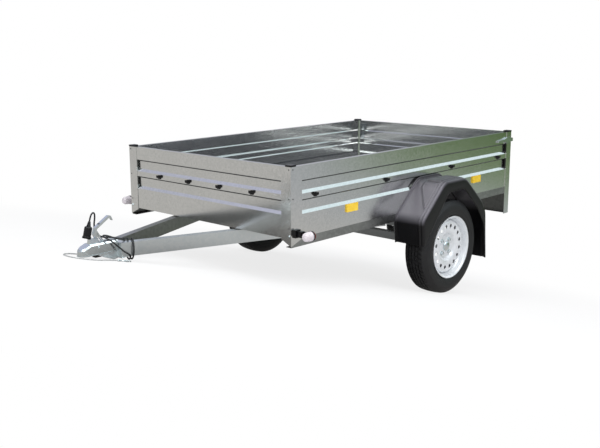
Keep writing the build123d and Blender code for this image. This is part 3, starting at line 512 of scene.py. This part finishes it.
def beside_beam(rows):
    """Rows of (forward, outward, height) from the winding's place on the left beam, as level points."""
    axes = np.stack([beam_forward, beam_outward, (0, 0, 1.0)])
    return winding_middle + np.atleast_2d(np.asarray(rows, dtype=float)) @ axes


def round_beam(first, last, start, pitch):
    """Turns round the beam: an ellipse from its inner side over its top, one pitch forward a turn."""
    angle = np.radians(np.arange(first, last + 1, 30))
    return np.stack([
        start + pitch * angle / (2 * np.pi),
        TURN_MIDDLE[0] - TURN_HALF_WIDTH * np.cos(angle),
        TURN_MIDDLE[1] + TURN_HALF_HEIGHT * np.sin(angle),
    ], axis=1)


print("winding round the beam at", winding_middle)

# %% The lead


def cord_curve(name, points, diameter, finish, body="chassis"):
    """A round cord on one open NURBS spline of order 3 that starts and ends at its end points."""
    data = bpy.data.curves.new(name, "CURVE")
    data.dimensions = "3D"
    data.bevel_depth, data.bevel_resolution, data.resolution_u = diameter / 2, 4, 8
    data.use_fill_caps = True
    spline = data.splines.new("NURBS")
    spline.points.add(len(points) - 1)
    spline.points.foreach_set("co", np.hstack([points, np.ones((len(points), 1))]).ravel())
    spline.order_u = 3
    spline.use_endpoint_u = True
    data.materials.append(finish)
    cord = bpy.data.objects.new(name, data)
    bpy.context.collection.objects.link(cord)
    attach(cord, body)
    return cord


LEAD_DIAMETER = 0.008
lead_points = park(np.concatenate([
    beside_beam([(-158, -42, 462), (-158, -66, 462), (-142, -84, 458), (-117, -88, 454), (-92, -77, 452),
                 (-73, -56, 447), (-50, -42, 444), (-28, -37, 449)]),
    beside_beam(round_beam(20, 410, -13, 17)),
    beside_beam([(13, -8, 504), (28, 2, 508), (50, 3, 508), (75, -4, 511)]),
    [(617, -8, 524), (644, -9, 529), (653, 17, 525), (641, 42, 515), (624, 51, 499), (606, 58, 480),
     (587, 64, 461)],
    beside_beam([(44, 34, 450), (26, 38, 438)]),
    beside_beam(round_beam(210, 390, 3, 13)),
    beside_beam([(26, -22, 496), (42, -16, 504)]),
    [(584, 4, 510), (602, -18, 511), (628, -33, 513), (652, -42, 530), (664, -44, 557), (667, -41, 585),
     (666, -34, 614), (671, -26, 639), (691, -11, 649), (712.4, 0, 637.1), (719, 0, 612)],
]))
lead = cord_curve("lead", lead_points, LEAD_DIAMETER, cable_rubber)
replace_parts(lead, "lead_cable", "lead_winding")
print("lead through", len(lead_points), "points")

# %% The safety wire
WIRE_DIAMETER = 0.006
wire_start = park([(690, -14, 436)])[0]
# parked millimetres, on the ground
wire_bow = np.array([
    (1352, -62, 6), (1376, -82, 3.3), (1420, -88, 3.3), (1466, -76, 3.3), (1503, -42, 3.3), (1512, 12, 3.3),
    (1488, 58, 3.3), (1440, 84, 3.3), (1386, 93, 3.3), (1334, 86, 5.2), (1306, 84, 5.2), (1276, 84, 5.2)])
wire_points = np.concatenate([[wire_start, wire_start + (0, -0.026, 0)], wire_bow / 1000])
safety_wire = cord_curve("safety_wire_run", wire_points, WIRE_DIAMETER, coated_wire)
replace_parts(safety_wire, "safety_wire")


def spline_length(cord):
    """Length of a curve object's own line: add the distances between the points that it is drawn with."""
    line = cord.data.copy()
    line.bevel_depth = 0
    holder = bpy.data.objects.new("measure", line)
    mesh = bpy.data.meshes.new_from_object(holder)
    points = np.empty(len(mesh.vertices) * 3)
    mesh.vertices.foreach_get("co", points)
    points = points.reshape(-1, 3)
    bpy.data.objects.remove(holder)
    bpy.data.meshes.remove(mesh)
    bpy.data.curves.remove(line)
    return float(np.linalg.norm(np.diff(points, axis=0), axis=1).sum())


print("lead", spline_length(lead), "wire", spline_length(safety_wire))

# %% [markdown]
# ## The tyres
# A tyre is one section carried round a circle. The section runs from the inner bead over the tread
# to the outer bead. Across the tread the radius drops into four grooves, and round the wheel it
# drops again into a slot at each block, so a single grid of points gives the whole tread. The slots
# lean away from the middle, which we get by turning each column a little further than the last.

# %% Points of a wheel
WHEEL_Y = 733.0
SIDES = ((1, "left"), (-1, "right"))


def about_axle(offset, radius, angle, side):
    """Level points of a wheel by offset outwards, radius and angle from its top; side: 1 left, -1 right."""
    offset, radius, angle = np.broadcast_arrays(offset, radius, angle)
    return np.stack([
        AXLE_X + radius * np.sin(angle), side * (WHEEL_Y + offset), TYRE_RADIUS + radius * np.cos(angle),
    ], axis=-1)


print("top of the left tyre", about_axle(0, TYRE_RADIUS, 0, 1))

# %% Tread and sidewall
BLOCKS = 64
TREAD_HALF = 49.0
GROOVES = (11.0, 31.0)
GROOVE_HALF, GROOVE_SLOPE = 2.6, 0.4
GROOVE_DEPTH = 6.0
RIB_HALF = 5.0
TOP_RADIUS, SHOULDER_DROP = 273.8, 2.8
SLOT_LEAN = 0.9
SIDEWALL = np.array([
    (53.5, 269.6), (58, 266), (62, 261), (65.5, 255.5), (67, 254.5), (70, 248.5), (72.8, 243), (73.6, 242.6),
    (75.6, 236), (76.9, 228), (77.4, 219), (77, 211), (76, 209.6), (76.2, 208), (75.4, 200), (73.8, 193),
    (71.6, 188), (69.5, 185), (66, 181),
])
# the tread's columns: a groove's edges each need two, close together, so that its walls stand steep
walls = np.array([-1, -1, 1, 1]) * GROOVE_HALF + np.array([-1, 1, -1, 1]) * GROOVE_SLOPE
edges = np.array(GROOVES)[:, None] + walls
half_tread = np.concatenate([[6.0], edges[0], [21.0], edges[1], [40.0, TREAD_HALF]])
tread_y = np.concatenate([-half_tread[::-1], [0.0], half_tread])
in_groove = np.min(np.abs(np.abs(tread_y)[:, None] - np.array(GROOVES)), axis=1) < GROOVE_HALF
# the tread's rows: where in each block they lie, and whether there is a slot there
slot_share = np.array([0.0, 0.03, 0.15, 0.18, 0.58])
in_slot = np.tile([False, True, True, False, False], BLOCKS)
turn_share = ((np.arange(BLOCKS)[:, None] + slot_share).ravel()) / BLOCKS
crown_radius = TOP_RADIUS - SHOULDER_DROP * (tread_y / TREAD_HALF) ** 2
dropped = in_groove[None, :] | (in_slot[:, None] & (np.abs(tread_y) > RIB_HALF)[None, :])
tread_radius = crown_radius[None, :] - GROOVE_DEPTH * dropped
section_y = np.concatenate([-SIDEWALL[::-1, 0], tread_y, SIDEWALL[:, 0]])
wall_radius = np.broadcast_to(SIDEWALL[:, 1], (len(turn_share), len(SIDEWALL)))
section_radius = np.concatenate([wall_radius[:, ::-1], tread_radius, wall_radius], axis=1)
lean = SLOT_LEAN / BLOCKS * np.clip(np.abs(section_y), 0, TREAD_HALF) / TREAD_HALF
tyre_angle = 2 * np.pi * (turn_share[:, None] + lean[None, :])
is_wall = np.abs(section_y) > TREAD_HALF
print("a tyre is", tyre_angle.shape[0], "rows round by", tyre_angle.shape[1], "across")

# %% Tyres
for side, name in SIDES:
    points = about_axle(section_y[None, :], section_radius, tyre_angle, side)
    faces = grid_faces(*points.shape[:2], close_rows=True)
    tyre = make_piece(f"tyre_tread_{name}", park(points.reshape(-1, 3)), faces, tyre_rubber,
                      f"wheel_{name}", flip=side > 0)
    # the sidewalls are smooth, the blocks flat
    column = faces[:, 0] % len(section_y)
    tyre.data.polygons.foreach_set("use_smooth", is_wall[column] & is_wall[column + 1])
    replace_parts(tyre, f"tyre_{name}")
print(BLOCKS, "blocks round each tyre")

# %% [markdown]
# ## The rims
# A pressed steel wheel is two parts welded together: a barrel rolled from strip, and a disc with a
# bowl pressed into it and a ring of hand holes punched out. Barrel and disc are profiles turned
# about the axle. Round each hole the disc is a patch of its own, stretched between the hole's
# circle and the edges of its sector. A Solidify modifier gives the sheet its thickness.

# %% Profiles of barrel and disc
# (offset, radius) rows: the barrel from its outer flange inwards, the disc from the barrel to the hub
BARREL = np.array([
    (72.6, 181.5), (74.6, 180.6), (75, 178), (73, 174.5), (70, 172), (67, 169.6), (62, 168.2), (46, 167.4),
    (40, 164), (34, 158), (20, 155), (4, 154.5), (-20, 154.5), (-44, 166), (-62, 168), (-68, 171), (-72, 176),
    (-73, 181.5),
])
DISC = np.array([
    (20, 155), (36, 154), (43, 151), (47.5, 146), (50, 140), (51, 136), (51.4, 121), (51, 106), (50.4, 96),
    (49, 88), (46.5, 82), (42, 77), (37, 73.5), (33, 70), (31, 66), (31, 36), (33, 31.5), (36, 29.8),
])


def turned(profile, steps, side):
    """A profile of (offset, radius) rows carried round the axle: one row of the grid per step."""
    angle = np.linspace(0, 2 * np.pi, steps, endpoint=False)
    points = about_axle(profile[None, :, 0], profile[None, :, 1], angle[:, None], side)
    return points.reshape(-1, 3), grid_faces(steps, len(profile), close_rows=True)


def disc_height(radius):
    """Offset of the disc's face at a radius, read off its profile."""
    return np.interp(radius, DISC[::-1, 1], DISC[::-1, 0])


print("the disc lies between", DISC[:, 0].min(), "and", DISC[:, 0].max(), "mm out")

# %% Ring of holes
HOLES = 16
HOLE_CIRCLE = 121.0
HOLE_RADIUS = 11.5
ARC_STEPS = 6
RING_OUTER, RING_INNER = 136.0, 106.0
# rows of a hole's patch: how far outside the hole's circle, and how far sunk below the disc
HOLE_ROWS = np.array([(-1.2, 2.2), (0, 0.6), (1.5, 0)])


def hole_ring(side):
    """The disc's ring of holes: in each sector a patch between the hole's circle and the sector's edge."""
    half = np.pi / HOLES
    share, still = np.arange(ARC_STEPS) / ARC_STEPS, np.ones(ARC_STEPS)
    swing, drop = 2 * half * share, (RING_OUTER - RING_INNER) * share
    edge_angle = np.concatenate([-half + swing, half * still, half - swing, -half * still])
    edge_radius = np.concatenate([
        RING_OUTER * still, RING_OUTER - drop, RING_INNER * still, RING_INNER + drop])
    edge = np.stack([edge_angle * HOLE_CIRCLE, edge_radius - HOLE_CIRCLE], axis=1)
    toward = edge / np.linalg.norm(edge, axis=1, keepdims=True)
    rows = [toward * (HOLE_RADIUS + beyond) for beyond in HOLE_ROWS[:, 0]]
    flat = np.stack([*rows, (rows[-1] + edge) / 2, edge])
    sunk = np.append(HOLE_ROWS[:, 1], [0, 0])[:, None]
    radius = HOLE_CIRCLE + flat[..., 1]
    centre = np.arange(HOLES) * 2 * half + half
    angle = centre[:, None, None] + (flat[..., 0] / HOLE_CIRCLE)[None]
    points = about_axle((disc_height(radius) - sunk)[None], radius[None], angle, side)
    patch = grid_faces(len(flat), len(edge), close_columns=True)
    faces = (patch[None] + len(flat) * len(edge) * np.arange(HOLES)[:, None, None]).reshape(-1, 4)
    return points.reshape(-1, 3), faces


print("the disc's face stands", disc_height(HOLE_CIRCLE), "mm out at the holes")

# %% Rims
SHEET, MERGE_WITHIN = 0.003, 0.0002
for side, name in SIDES:
    profiles = (BARREL, DISC[DISC[:, 1] >= RING_OUTER], DISC[DISC[:, 1] <= RING_INNER])
    grids = [turned(profile, HOLES * ARC_STEPS, side) for profile in profiles] + [hole_ring(side)]
    points, faces = joined([(grid, quads[:, ::-1]) for grid, quads in grids])
    rim = make_piece(f"pressed_rim_{name}", park(points), faces, silver_enamel, f"wheel_{name}",
                     flip=side < 0)
    merge = rim.modifiers.new("merge", "WELD")
    merge.merge_threshold = MERGE_WITHIN
    sheet = rim.modifiers.new("sheet", "SOLIDIFY")
    sheet.thickness, sheet.offset = SHEET, -1
    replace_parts(rim, f"rim_{name}")
print("rim faces", len(faces))

# %% [markdown]
# ## The mudguards
# Each mudguard is moulded plastic: a crown that follows five soft folds over the wheel, a rolled
# outer edge, and a narrow skirt that turns down to the opening. We average the folded line over a
# short stretch, which rounds every fold at once, and then carry one cross-section along it. Raised
# panels are a smooth step added to the height wherever a point lies inside their outline. Each
# point also carries a painted highlight, a lighter grey: the crests most, the creases less.

# %% Lines of the mudguard
# (x, z) corners of the folded crown and of the opening, from the front to the flap behind the wheel
CROWN = np.array([
    (-868, 333), (-856, 476), (-1062, 665), (-1280, 665), (-1470, 500), (-1512, 430), (-1528, 150)], float)
OPENING = np.array([
    (-880, 333), (-991, 468), (-1102, 602), (-1262, 608), (-1414, 471), (-1490, 365), (-1516, 150)], float)
FOLD_WIDTH = 0.30
# across the crown, (y, height above the folded line): the lip at the wall, then the double roll
LIP = np.array([(641, 13), (641, 6), (642.5, 2), (646, 0)])
ROLL = np.array([
    (791, 0.5), (793.5, 3.4), (796, 6.2), (798, 6.8), (800, 6.2), (803, 3.4), (806, 1.2), (809, 0.8),
    (812, 2.2), (815, 2.8), (817.5, 1.9), (820, -0.6), (822, -3.8), (823.7, -8.6), (824.6, -15),
    (824.6, -24)])
FLAT = np.arange(652, 790, 6.0)
# the skirt's rows: how far from the roll to the opening, and y
SKIRT = np.array([
    (0.15, 824.7), (0.3, 824.8), (0.5, 824.6), (0.7, 824.3), (0.85, 824.2), (0.95, 824.6), (1, 823.4),
    (1, 819)])
DEEP_SKIRT = 60.0
# the raised panel: its height, the fade at its edges, and (place, y) corners of its inner edge
PANEL_RISE, PANEL_FADE = 8.0, 18.0
PANEL_EDGE = np.array([(1.22, 800), (1.30, 778), (1.80, 690), (3.25, 690), (3.75, 778), (3.85, 800)])
PANEL_END, PANEL_INSET = 788.0, 6
PANEL_FRONT, PANEL_REAR, END_FADE = 1.28, 3.78, 0.06
CREASE_PLACES, CREASE_DEPTH, CREASE_WIDTH = (2.0, 3.0), 0.8, 0.03
# (place, painted highlight) along the crown: the slopes most, the flat top less
HIGHLIGHT_ALONG_CROWN = np.array([
    (0.8, 0), (1.15, 1), (1.8, 1), (2.1, 0.35), (2.9, 0.35), (3.3, 0.8), (4.2, 0.6), (4.8, 0)])
# (y, width, share) of what the roll adds to the painted highlight: two crests and the valley between them
ROLL_HIGHLIGHT = ((798, 3, 0.5), (817, 5, 0.5), (807, 3.5, -0.25))
PLAIN_HIGHLIGHT, BANK_HIGHLIGHT, MOST_HIGHLIGHT = 0.85, 0.35, 1.4
CROWN_ROWS = 241
print("crown of", len(CROWN), "corners, roll of", len(ROLL), "points")

# %% Rounded lines and smooth steps


def soft_path(corners, place):
    """Mean of a folded line over a window of FOLD_WIDTH about each place, where corner k is place k."""
    window = np.linspace(-FOLD_WIDTH / 2, FOLD_WIDTH / 2, 15)
    at = place[:, None] + window
    beyond = at - np.clip(at, 0, len(corners) - 1)
    knots = np.arange(len(corners))
    before, after = (beyond < 0)[..., None], (beyond > 0)[..., None]
    slope = before * (corners[1] - corners[0]) + after * (corners[-1] - corners[-2])
    rows = np.stack([np.interp(at, knots, corners[:, k]) for k in (0, 1)], axis=-1)
    return (rows + slope * beyond[..., None]).mean(axis=1)


def step_up(value, edge, width):
    """Smooth step from 0 to 1 across an edge: three t squared minus two t cubed."""
    t = np.clip((value - edge) / width + 0.5, 0, 1)
    return t * t * (3 - 2 * t)


def hump(value, middle, width):
    """A smooth hump of height 1: e to the power of minus the square of the distance in widths."""
    return np.exp(-((value - middle) / width) ** 2)


print("each fold is eased over", FOLD_WIDTH, "of the way between two corners")

# %% Surface of the mudguard


def guard_grid(side):
    """Mudguard surface: rows along the crown, columns from the wall over the roll and down the skirt."""
    place = np.linspace(0, len(CROWN) - 1, CROWN_ROWS)
    crown, opening = soft_path(CROWN, place), soft_path(OPENING, place)
    along = np.gradient(crown, axis=0)
    along /= np.linalg.norm(along, axis=1, keepdims=True)
    outward = np.stack([along[:, 1], -along[:, 0]], axis=1)
    y, height = np.concatenate([LIP, np.stack([FLAT, 0 * FLAT], axis=1), ROLL]).T
    inner_edge = np.interp(place, *PANEL_EDGE.T)[:, None]
    between = step_up(place, PANEL_FRONT, END_FADE) * (1 - step_up(place, PANEL_REAR, END_FADE))
    crease = 1 - sum(CREASE_DEPTH * hump(place, fold, CREASE_WIDTH) for fold in CREASE_PLACES)
    outer_side = 1 - step_up(y, PANEL_END, 10)
    inside = step_up(y[None, :], inner_edge + PANEL_INSET, PANEL_FADE) * outer_side[None, :]
    panel = PANEL_RISE * inside * (between * crease)[:, None]
    # the roll's outer side is let down only as far as the skirt under it is deep
    depth = np.linalg.norm(opening - crown, axis=1)
    let_down = height * np.minimum(1, depth / DEEP_SKIRT)[:, None]
    lift = np.where(height < 0, let_down, height) + panel
    top = crown[:, None, :] + outward[:, None, :] * lift[..., None]
    start = top[:, -1:, :]
    skirt = start + (opening[:, None, :] - start) * SKIRT[None, :, :1]
    rows = np.concatenate([top, skirt], axis=1)
    across = np.concatenate([y, SKIRT[:, 1]])
    points = np.stack([rows[..., 0], np.broadcast_to(side * across, rows.shape[:2]), rows[..., 1]], axis=-1)
    # painted highlight: most on the roll's two crests, less in its valley and on the panel's bank, none on
    # the skirt
    roll = sum(share * hump(y, middle, width) for middle, width, share in ROLL_HIGHLIGHT)
    bank = hump(panel / PANEL_RISE, 0.5, 0.28)
    grey = np.clip(PLAIN_HIGHLIGHT + roll - BANK_HIGHLIGHT * bank, 0, MOST_HIGHLIGHT)
    painted_highlight = np.interp(place, *HIGHLIGHT_ALONG_CROWN.T)[:, None] * grey * (1 - step_up(-height, 8, 14))
    return points, np.hstack([painted_highlight, np.zeros((len(place), len(SKIRT)))])


print("mudguard grid", guard_grid(1)[0].shape[:2])

# %% Mudguards
WALL = 0.0032
for side, name in SIDES:
    points, painted_highlight = guard_grid(side)
    guard = make_piece(f"moulded_guard_{name}", park(points.reshape(-1, 3)), grid_faces(*points.shape[:2]),
                       guard_plastic, flip=side < 0)
    # each point's share of the painted highlight, for the finish
    attribute = guard.data.attributes.new("painted_highlight", "FLOAT", "POINT")
    attribute.data.foreach_set("value", painted_highlight.ravel().astype(np.float32))
    wall = guard.modifiers.new("wall", "SOLIDIFY")
    wall.thickness, wall.offset = WALL, -1
    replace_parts(guard, f"mudguard_{name}")
print("mudguard wall", WALL, "m")

# %% [markdown]
# ## Turned and bent hardware
# Most small fittings are turned: a profile spun about an axis. Bolt heads are the same thing with
# six steps. The hook is a rod bent round a closed path. These helpers make them all, and the last
# one joins what belongs together into one piece.

# %% Turning


def lathe(profile, centre, axis, steps=24, flutes=0, depth=0.0):
    """A profile of (height, radius) rows spun about an axis, closed at both ends; flutes cut in by depth."""
    profile = np.asarray(profile, dtype=float)
    axis = np.asarray(axis, dtype=float) / np.linalg.norm(axis)
    across = np.cross(axis, (0, 0, 1.0) if abs(axis[2]) < 0.8 else (1.0, 0, 0))
    across /= np.linalg.norm(across)
    angle = np.linspace(0, 2 * np.pi, steps, endpoint=False)
    ring = np.cos(angle)[:, None] * across + np.sin(angle)[:, None] * np.cross(axis, across)
    radius = profile[None, :, 1:] * (1 - depth * (0.5 - 0.5 * np.cos(flutes * angle)))[:, None, None]
    points = np.asarray(centre, dtype=float) + profile[None, :, :1] * axis + radius * ring[:, None, :]
    around = np.arange(steps) * len(profile)
    faces = grid_faces(steps, len(profile), close_rows=True)[:, ::-1].tolist()
    return points.reshape(-1, 3), faces + [around[::-1].tolist(), (around + len(profile) - 1).tolist()]


print("a disc turned in 24 steps has", len(lathe([(0, 1), (1, 1)], (0, 0, 0), (0, 0, 1))[1]), "faces")

# %% Bending and joining


def bent_rod(path, radius, steps=12):
    """A round rod round a closed path in a level plane: at each point a circle across the path."""
    path = np.asarray(path, dtype=float)
    ahead = np.roll(path, -1, 0) - np.roll(path, 1, 0)
    ahead /= np.linalg.norm(ahead, axis=1, keepdims=True)
    up = np.array([0, 0, 1.0])
    angle = np.linspace(0, 2 * np.pi, steps, endpoint=False)[None, :, None]
    across = np.cross(ahead, up)[:, None, :]
    points = path[:, None, :] + radius * (np.cos(angle) * across + np.sin(angle) * up)
    return points.reshape(-1, 3), grid_faces(len(path), steps, close_rows=True, close_columns=True)[:, ::-1]


def hex_head(centre, axis, radius, height):
    """A hexagonal bolt head on a thin washer."""
    washer = lathe([(0, 1.35 * radius), (1.5, 1.35 * radius)], centre, axis, 16)
    head = lathe([(1.4, radius), (0.8 * height, radius), (height, 0.86 * radius)], centre, axis, 6)
    return joined([washer, head])


def rivet(centre, axis, radius=3.6):
    """A low domed rivet head."""
    return lathe([(-0.2, radius), (0.5, radius), (1.3, 0.8 * radius), (1.8, 0.35 * radius)], centre, axis, 12)


def on_ground(points):
    """Parked millimetres to metres: divide by a thousand."""
    return points / 1000


def joined_piece(name, shapes, finish, body="chassis", smooth=True, place=park):
    """One new piece of several (points, faces) pairs, in level millimetres unless place says otherwise."""
    points, faces = joined(shapes)
    return make_piece(name, place(points), faces, finish, body, smooth)


print("a rivet has", len(rivet((0, 0, 0), (0, 1, 0))[0]), "points")

# %% [markdown]
# ## Plug, gland, sleeve and hook
# The seven-pin plug is a moulded body with a rolled mouth, flutes to grip, and a ribbed boot that
# narrows to the lead. The gland on the beam has a tapered relief for the lead's other end. The
# safety wire ends in a crimped sleeve and a sprung hook.

# %% Plug and gland
PLUG_TOP = np.array([719.0, 0.0, 612.0])
PLUG_AXIS = np.array([-0.255, 0.0, 0.967])
PLUG_LENGTH = 84.0
BOOT = (58, 82)
BOOT_RADIUS = (11.0, 6.2)
RIB_PITCH, RIB_HEIGHT = 4, 0.7
FLUTES, FLUTE_DEPTH = 16, 0.07
plug_mouth = PLUG_TOP - PLUG_LENGTH * PLUG_AXIS
ribs = np.arange(*BOOT, 1.0)
rib_radius = np.interp(ribs, BOOT, BOOT_RADIUS) + RIB_HEIGHT * np.cos(2 * np.pi * ribs / RIB_PITCH)
collar = lathe([(0, 17), (0, 20.6), (1.2, 21.5), (8.8, 21.5), (10.4, 20.6), (11, 18)],
               plug_mouth, PLUG_AXIS, 48)
grip = lathe([(10, 18.9), (13, 19), (50, 19), (54, 18.4), (57, 16), (59, 12)], plug_mouth, PLUG_AXIS, 64,
             FLUTES, FLUTE_DEPTH)
boot = lathe(np.stack([ribs, rib_radius], axis=1), plug_mouth, PLUG_AXIS, 32)
nose = lathe([(80, 6.4), (82, 5.6), (84, 5.0)], plug_mouth, PLUG_AXIS, 32)
plug = joined_piece("plug_body", [collar, grip, boot, nose], black_plastic)
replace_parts(plug, "lead_plug")

gland_foot = beside_beam((-158, -20, 462))[0]
gland_nut = lathe([(0, 7.5), (7, 7.5), (7.6, 6.6)], gland_foot, -beam_outward, 6)
relief = lathe([
    (6, 6.8), (12, 6.9), (16, 6.5), (20, 5.9), (22, 5.9), (23, 5.5), (26, 5.5), (27, 5.1), (30, 5.1),
    (31, 4.7), (34, 4.5)], gland_foot, -beam_outward, 24)
gland = joined_piece("gland_relief", [gland_nut, relief], black_plastic)
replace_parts(gland, "lead_gland")
print("plug mouth at", plug_mouth, "gland at", gland_foot)

# %% Sleeve and hook
SLEEVE_FRONT = np.array([1276.0, 84.0, 5.2])
crimp = lathe([
    (-1, 3.4), (0, 4.6), (1, 5), (4, 5), (5, 4.2), (8, 4.2), (9, 5), (12, 5), (13, 4.2), (16, 4.2), (17, 5),
    (18, 4.8), (18.5, 3.2)], SLEEVE_FRONT, (-1, 0, 0), 24)
sleeve = joined_piece("crimped_sleeve", [crimp], zinc_plate, place=on_ground)
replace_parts(sleeve, "wire_sleeve")

# the hook's path is an oval with flattened sides: powers of the cosine and the sine below 1
HOOK_MIDDLE = np.array([1228.0, 84.0, 4.3])
HOOK_HALF_LENGTH, HOOK_HALF_WIDTH, HOOK_ROD = 27, 9, 2.9
turn = np.linspace(0, 2 * np.pi, 64, endpoint=False)
hook_path = HOOK_MIDDLE + np.stack([
    HOOK_HALF_LENGTH * np.sign(np.cos(turn)) * np.abs(np.cos(turn)) ** 0.7,
    HOOK_HALF_WIDTH * np.sign(np.sin(turn)) * np.abs(np.sin(turn)) ** 0.6,
    0 * turn,
], axis=1)
gate_barrel = lathe([(-10, 3.2), (-9, 4), (9, 4), (10, 3.2)],
                    HOOK_MIDDLE + (0, HOOK_HALF_WIDTH, 0), (1, 0, 0), 20)
hook = joined_piece("sprung_hook", [bent_rod(hook_path, HOOK_ROD), gate_barrel], zinc_plate, place=on_ground)
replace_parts(hook, "safety_hook")
print("hook path of", len(hook_path), "points")

# %% [markdown]
# ## Lamps
# Each marker lamp is a rubber ring with a clear ribbed dome to the front and a shallow red one to
# the rear. The ribs are small waves along the dome's profile.

# %% Marker lamp lenses
LAMP_X, LAMP_Y, LAMP_Z = -52.0, 724.0, 518.0
LENS_OFFSET = 4.0
RIB_DEPTH, LENS_RIB_PITCH, RIBS_END = 0.35, 3.75, 30
dome_rise = np.concatenate([np.linspace(0, RIBS_END, 25), [34, 38, 42, 45, 47, 47.8]])
dome_radius = np.interp(dome_rise, [0, 6, 30, 38, 42, 45, 47, 47.8], [24.4, 24.2, 22.6, 20.6, 18, 14, 8, 2.5])
wave = 1 - np.cos(2 * np.pi * dome_rise / LENS_RIB_PITCH)
clear_profile = np.stack([dome_rise, dome_radius - RIB_DEPTH * wave * (dome_rise < RIBS_END)], axis=1)
red_profile = [(0, 24.4), (4, 24.2), (6.5, 22.5), (8.2, 18), (9, 10), (9, 2)]
for name, profile, ahead, finish, node in (
    ("clear_domes", clear_profile, 1, clear_lens, "marker_lenses"),
    ("red_domes", red_profile, -1, red_lens, "marker_rear_lenses"),
):
    domes = [lathe(profile, (LAMP_X + ahead * LENS_OFFSET, side * LAMP_Y, LAMP_Z), (ahead, 0, 0), 40)
             for side in (1, -1)]
    points, faces = joined(domes)
    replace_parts(make_piece(name, park(points), faces, finish), node)
print("lenses in place")

# %% [markdown]
# ## Bolts, nuts and rivets
# Wheel bolts stand on a circle of 100 mm round a domed dust cap. Domed rivets hold the walls to
# the corner posts, three to each side of a post. Bolts go through the coupling and the posts' feet,
# and each tailgate latch turns on a small drum.

# %% Wheel bolts and dust caps
BOLT_CIRCLE_RADIUS = 50.0
BOLT_ANGLES = np.radians([45, 135, 225, 315])
HUB_FACE = WHEEL_Y + 31
for side, name in SIDES:
    places = about_axle(HUB_FACE - WHEEL_Y, BOLT_CIRCLE_RADIUS, BOLT_ANGLES, side)
    heads = [hex_head(place, (0, side, 0), 9.8, 13) for place in places]
    joined_piece(f"wheel_bolts_{name}", heads, zinc_plate, f"wheel_{name}")
    cap = lathe([(0, 30), (2, 29.8), (9, 29.4), (13, 27.5), (16, 22), (17.5, 13), (18, 3)],
                (AXLE_X, side * HUB_FACE, TYRE_RADIUS), (0, side, 0), 40)
    joined_piece(f"dust_cap_{name}", [cap], zinc_plate, f"wheel_{name}")

print("bolt circle", 2 * BOLT_CIRCLE_RADIUS, "mm across")

# %% Rivets and bolts
HALF = 640.0
RIVET_HEIGHTS = (838.0, 694.0, 548.0)
REAR_POST_X, REAR_RIVET_DROP = -2091.0, 14
rivets, bolts = [], []
for side in (1, -1):
    outwards = (0, side, 0)
    for height in RIVET_HEIGHTS:
        rivets += [rivet((-15.0, side * HALF, height), outwards), rivet((0, side * 626.0, height), (1, 0, 0))]
        rivets += [rivet((REAR_POST_X, side * HALF, height - REAR_RIVET_DROP), outwards)]
    bolts += [hex_head((694.0, side * 32.5, 484), outwards, 5.0, 6)]
    bolts += [hex_head((0.0, side * 628.0, 510), (1, 0, 0), 5.0, 5)]
    bolts += [lathe([(0, 13), (6, 13), (7.5, 11.5), (8, 5)], (-2092.0, side * HALF, 800), outwards, 24)]
joined_piece("wall_rivets", rivets, dull_zinc_and_fold_shade)
joined_piece("coupling_bolts", bolts, zinc_plate)
print(len(rivets), "rivets,", len(bolts), "bolts")

# %% [markdown]
# ## Painted shade along the grooves
# Just under the upper edge of every groove the sheet turns in on itself and lies in shade. A narrow
# leaning strip of dark zinc along each upper edge paints that shade as a dark line. Where the side
# grooves run in behind the rear posts, their open ends lie in shade, painted as black boxes.

# %% Fold lines
GROOVE_EDGES = (780.0, 684.0)
SIDE_STRIP_ENDS, FRONT_STRIP_ENDS = (-84.0, -2044.0), (-570.0, 570.0)
SINK = 1.2
LEANING = np.array([(0.3, -0.6), (-5.5, -6.4), (-6.5, -5.4), (-0.7, 0.4)])
strips = []
for edge_z in GROOVE_EDGES:
    for side in (1, -1):
        section = [[(x, side * (HALF - SINK + out), edge_z + up) for out, up in LEANING]
                   for x in SIDE_STRIP_ENDS]
        strips.append((section, grid_faces(2, len(LEANING), close_columns=True)[:, ::side]))
    section = [[(out - SINK, y, edge_z + up) for out, up in LEANING] for y in FRONT_STRIP_ENDS]
    strips.append((section, grid_faces(2, len(LEANING), close_columns=True)))
# dark strips: painted shade under each groove's upper edge
joined_piece("painted_fold_shade_lines", strips, dull_zinc_and_fold_shade, smooth=False)
print(len(strips), "fold lines")

# %% Open ends of the grooves
SLOT_HEIGHTS = ((616.0, 680.0), (717.0, 776.0))
SLOT_X, SLOT_Y = (-2058.0, -2044.0), (629.5, 639.0)
# the six faces of a box whose corners count x slowest and z fastest
BOX_FACES = np.array([(0, 1, 3, 2), (4, 6, 7, 5), (0, 4, 5, 1), (2, 3, 7, 6), (0, 2, 6, 4), (1, 5, 7, 3)])
# black boxes in the grooves' open ends: painted shade
slots = [([(x, side * y, z) for x in SLOT_X for y in SLOT_Y for z in heights], BOX_FACES[:, ::side])
         for heights in SLOT_HEIGHTS for side in (1, -1)]
joined_piece("groove_end_painted_shade", slots, black_plastic, smooth=False)
print(len(slots), "slots")
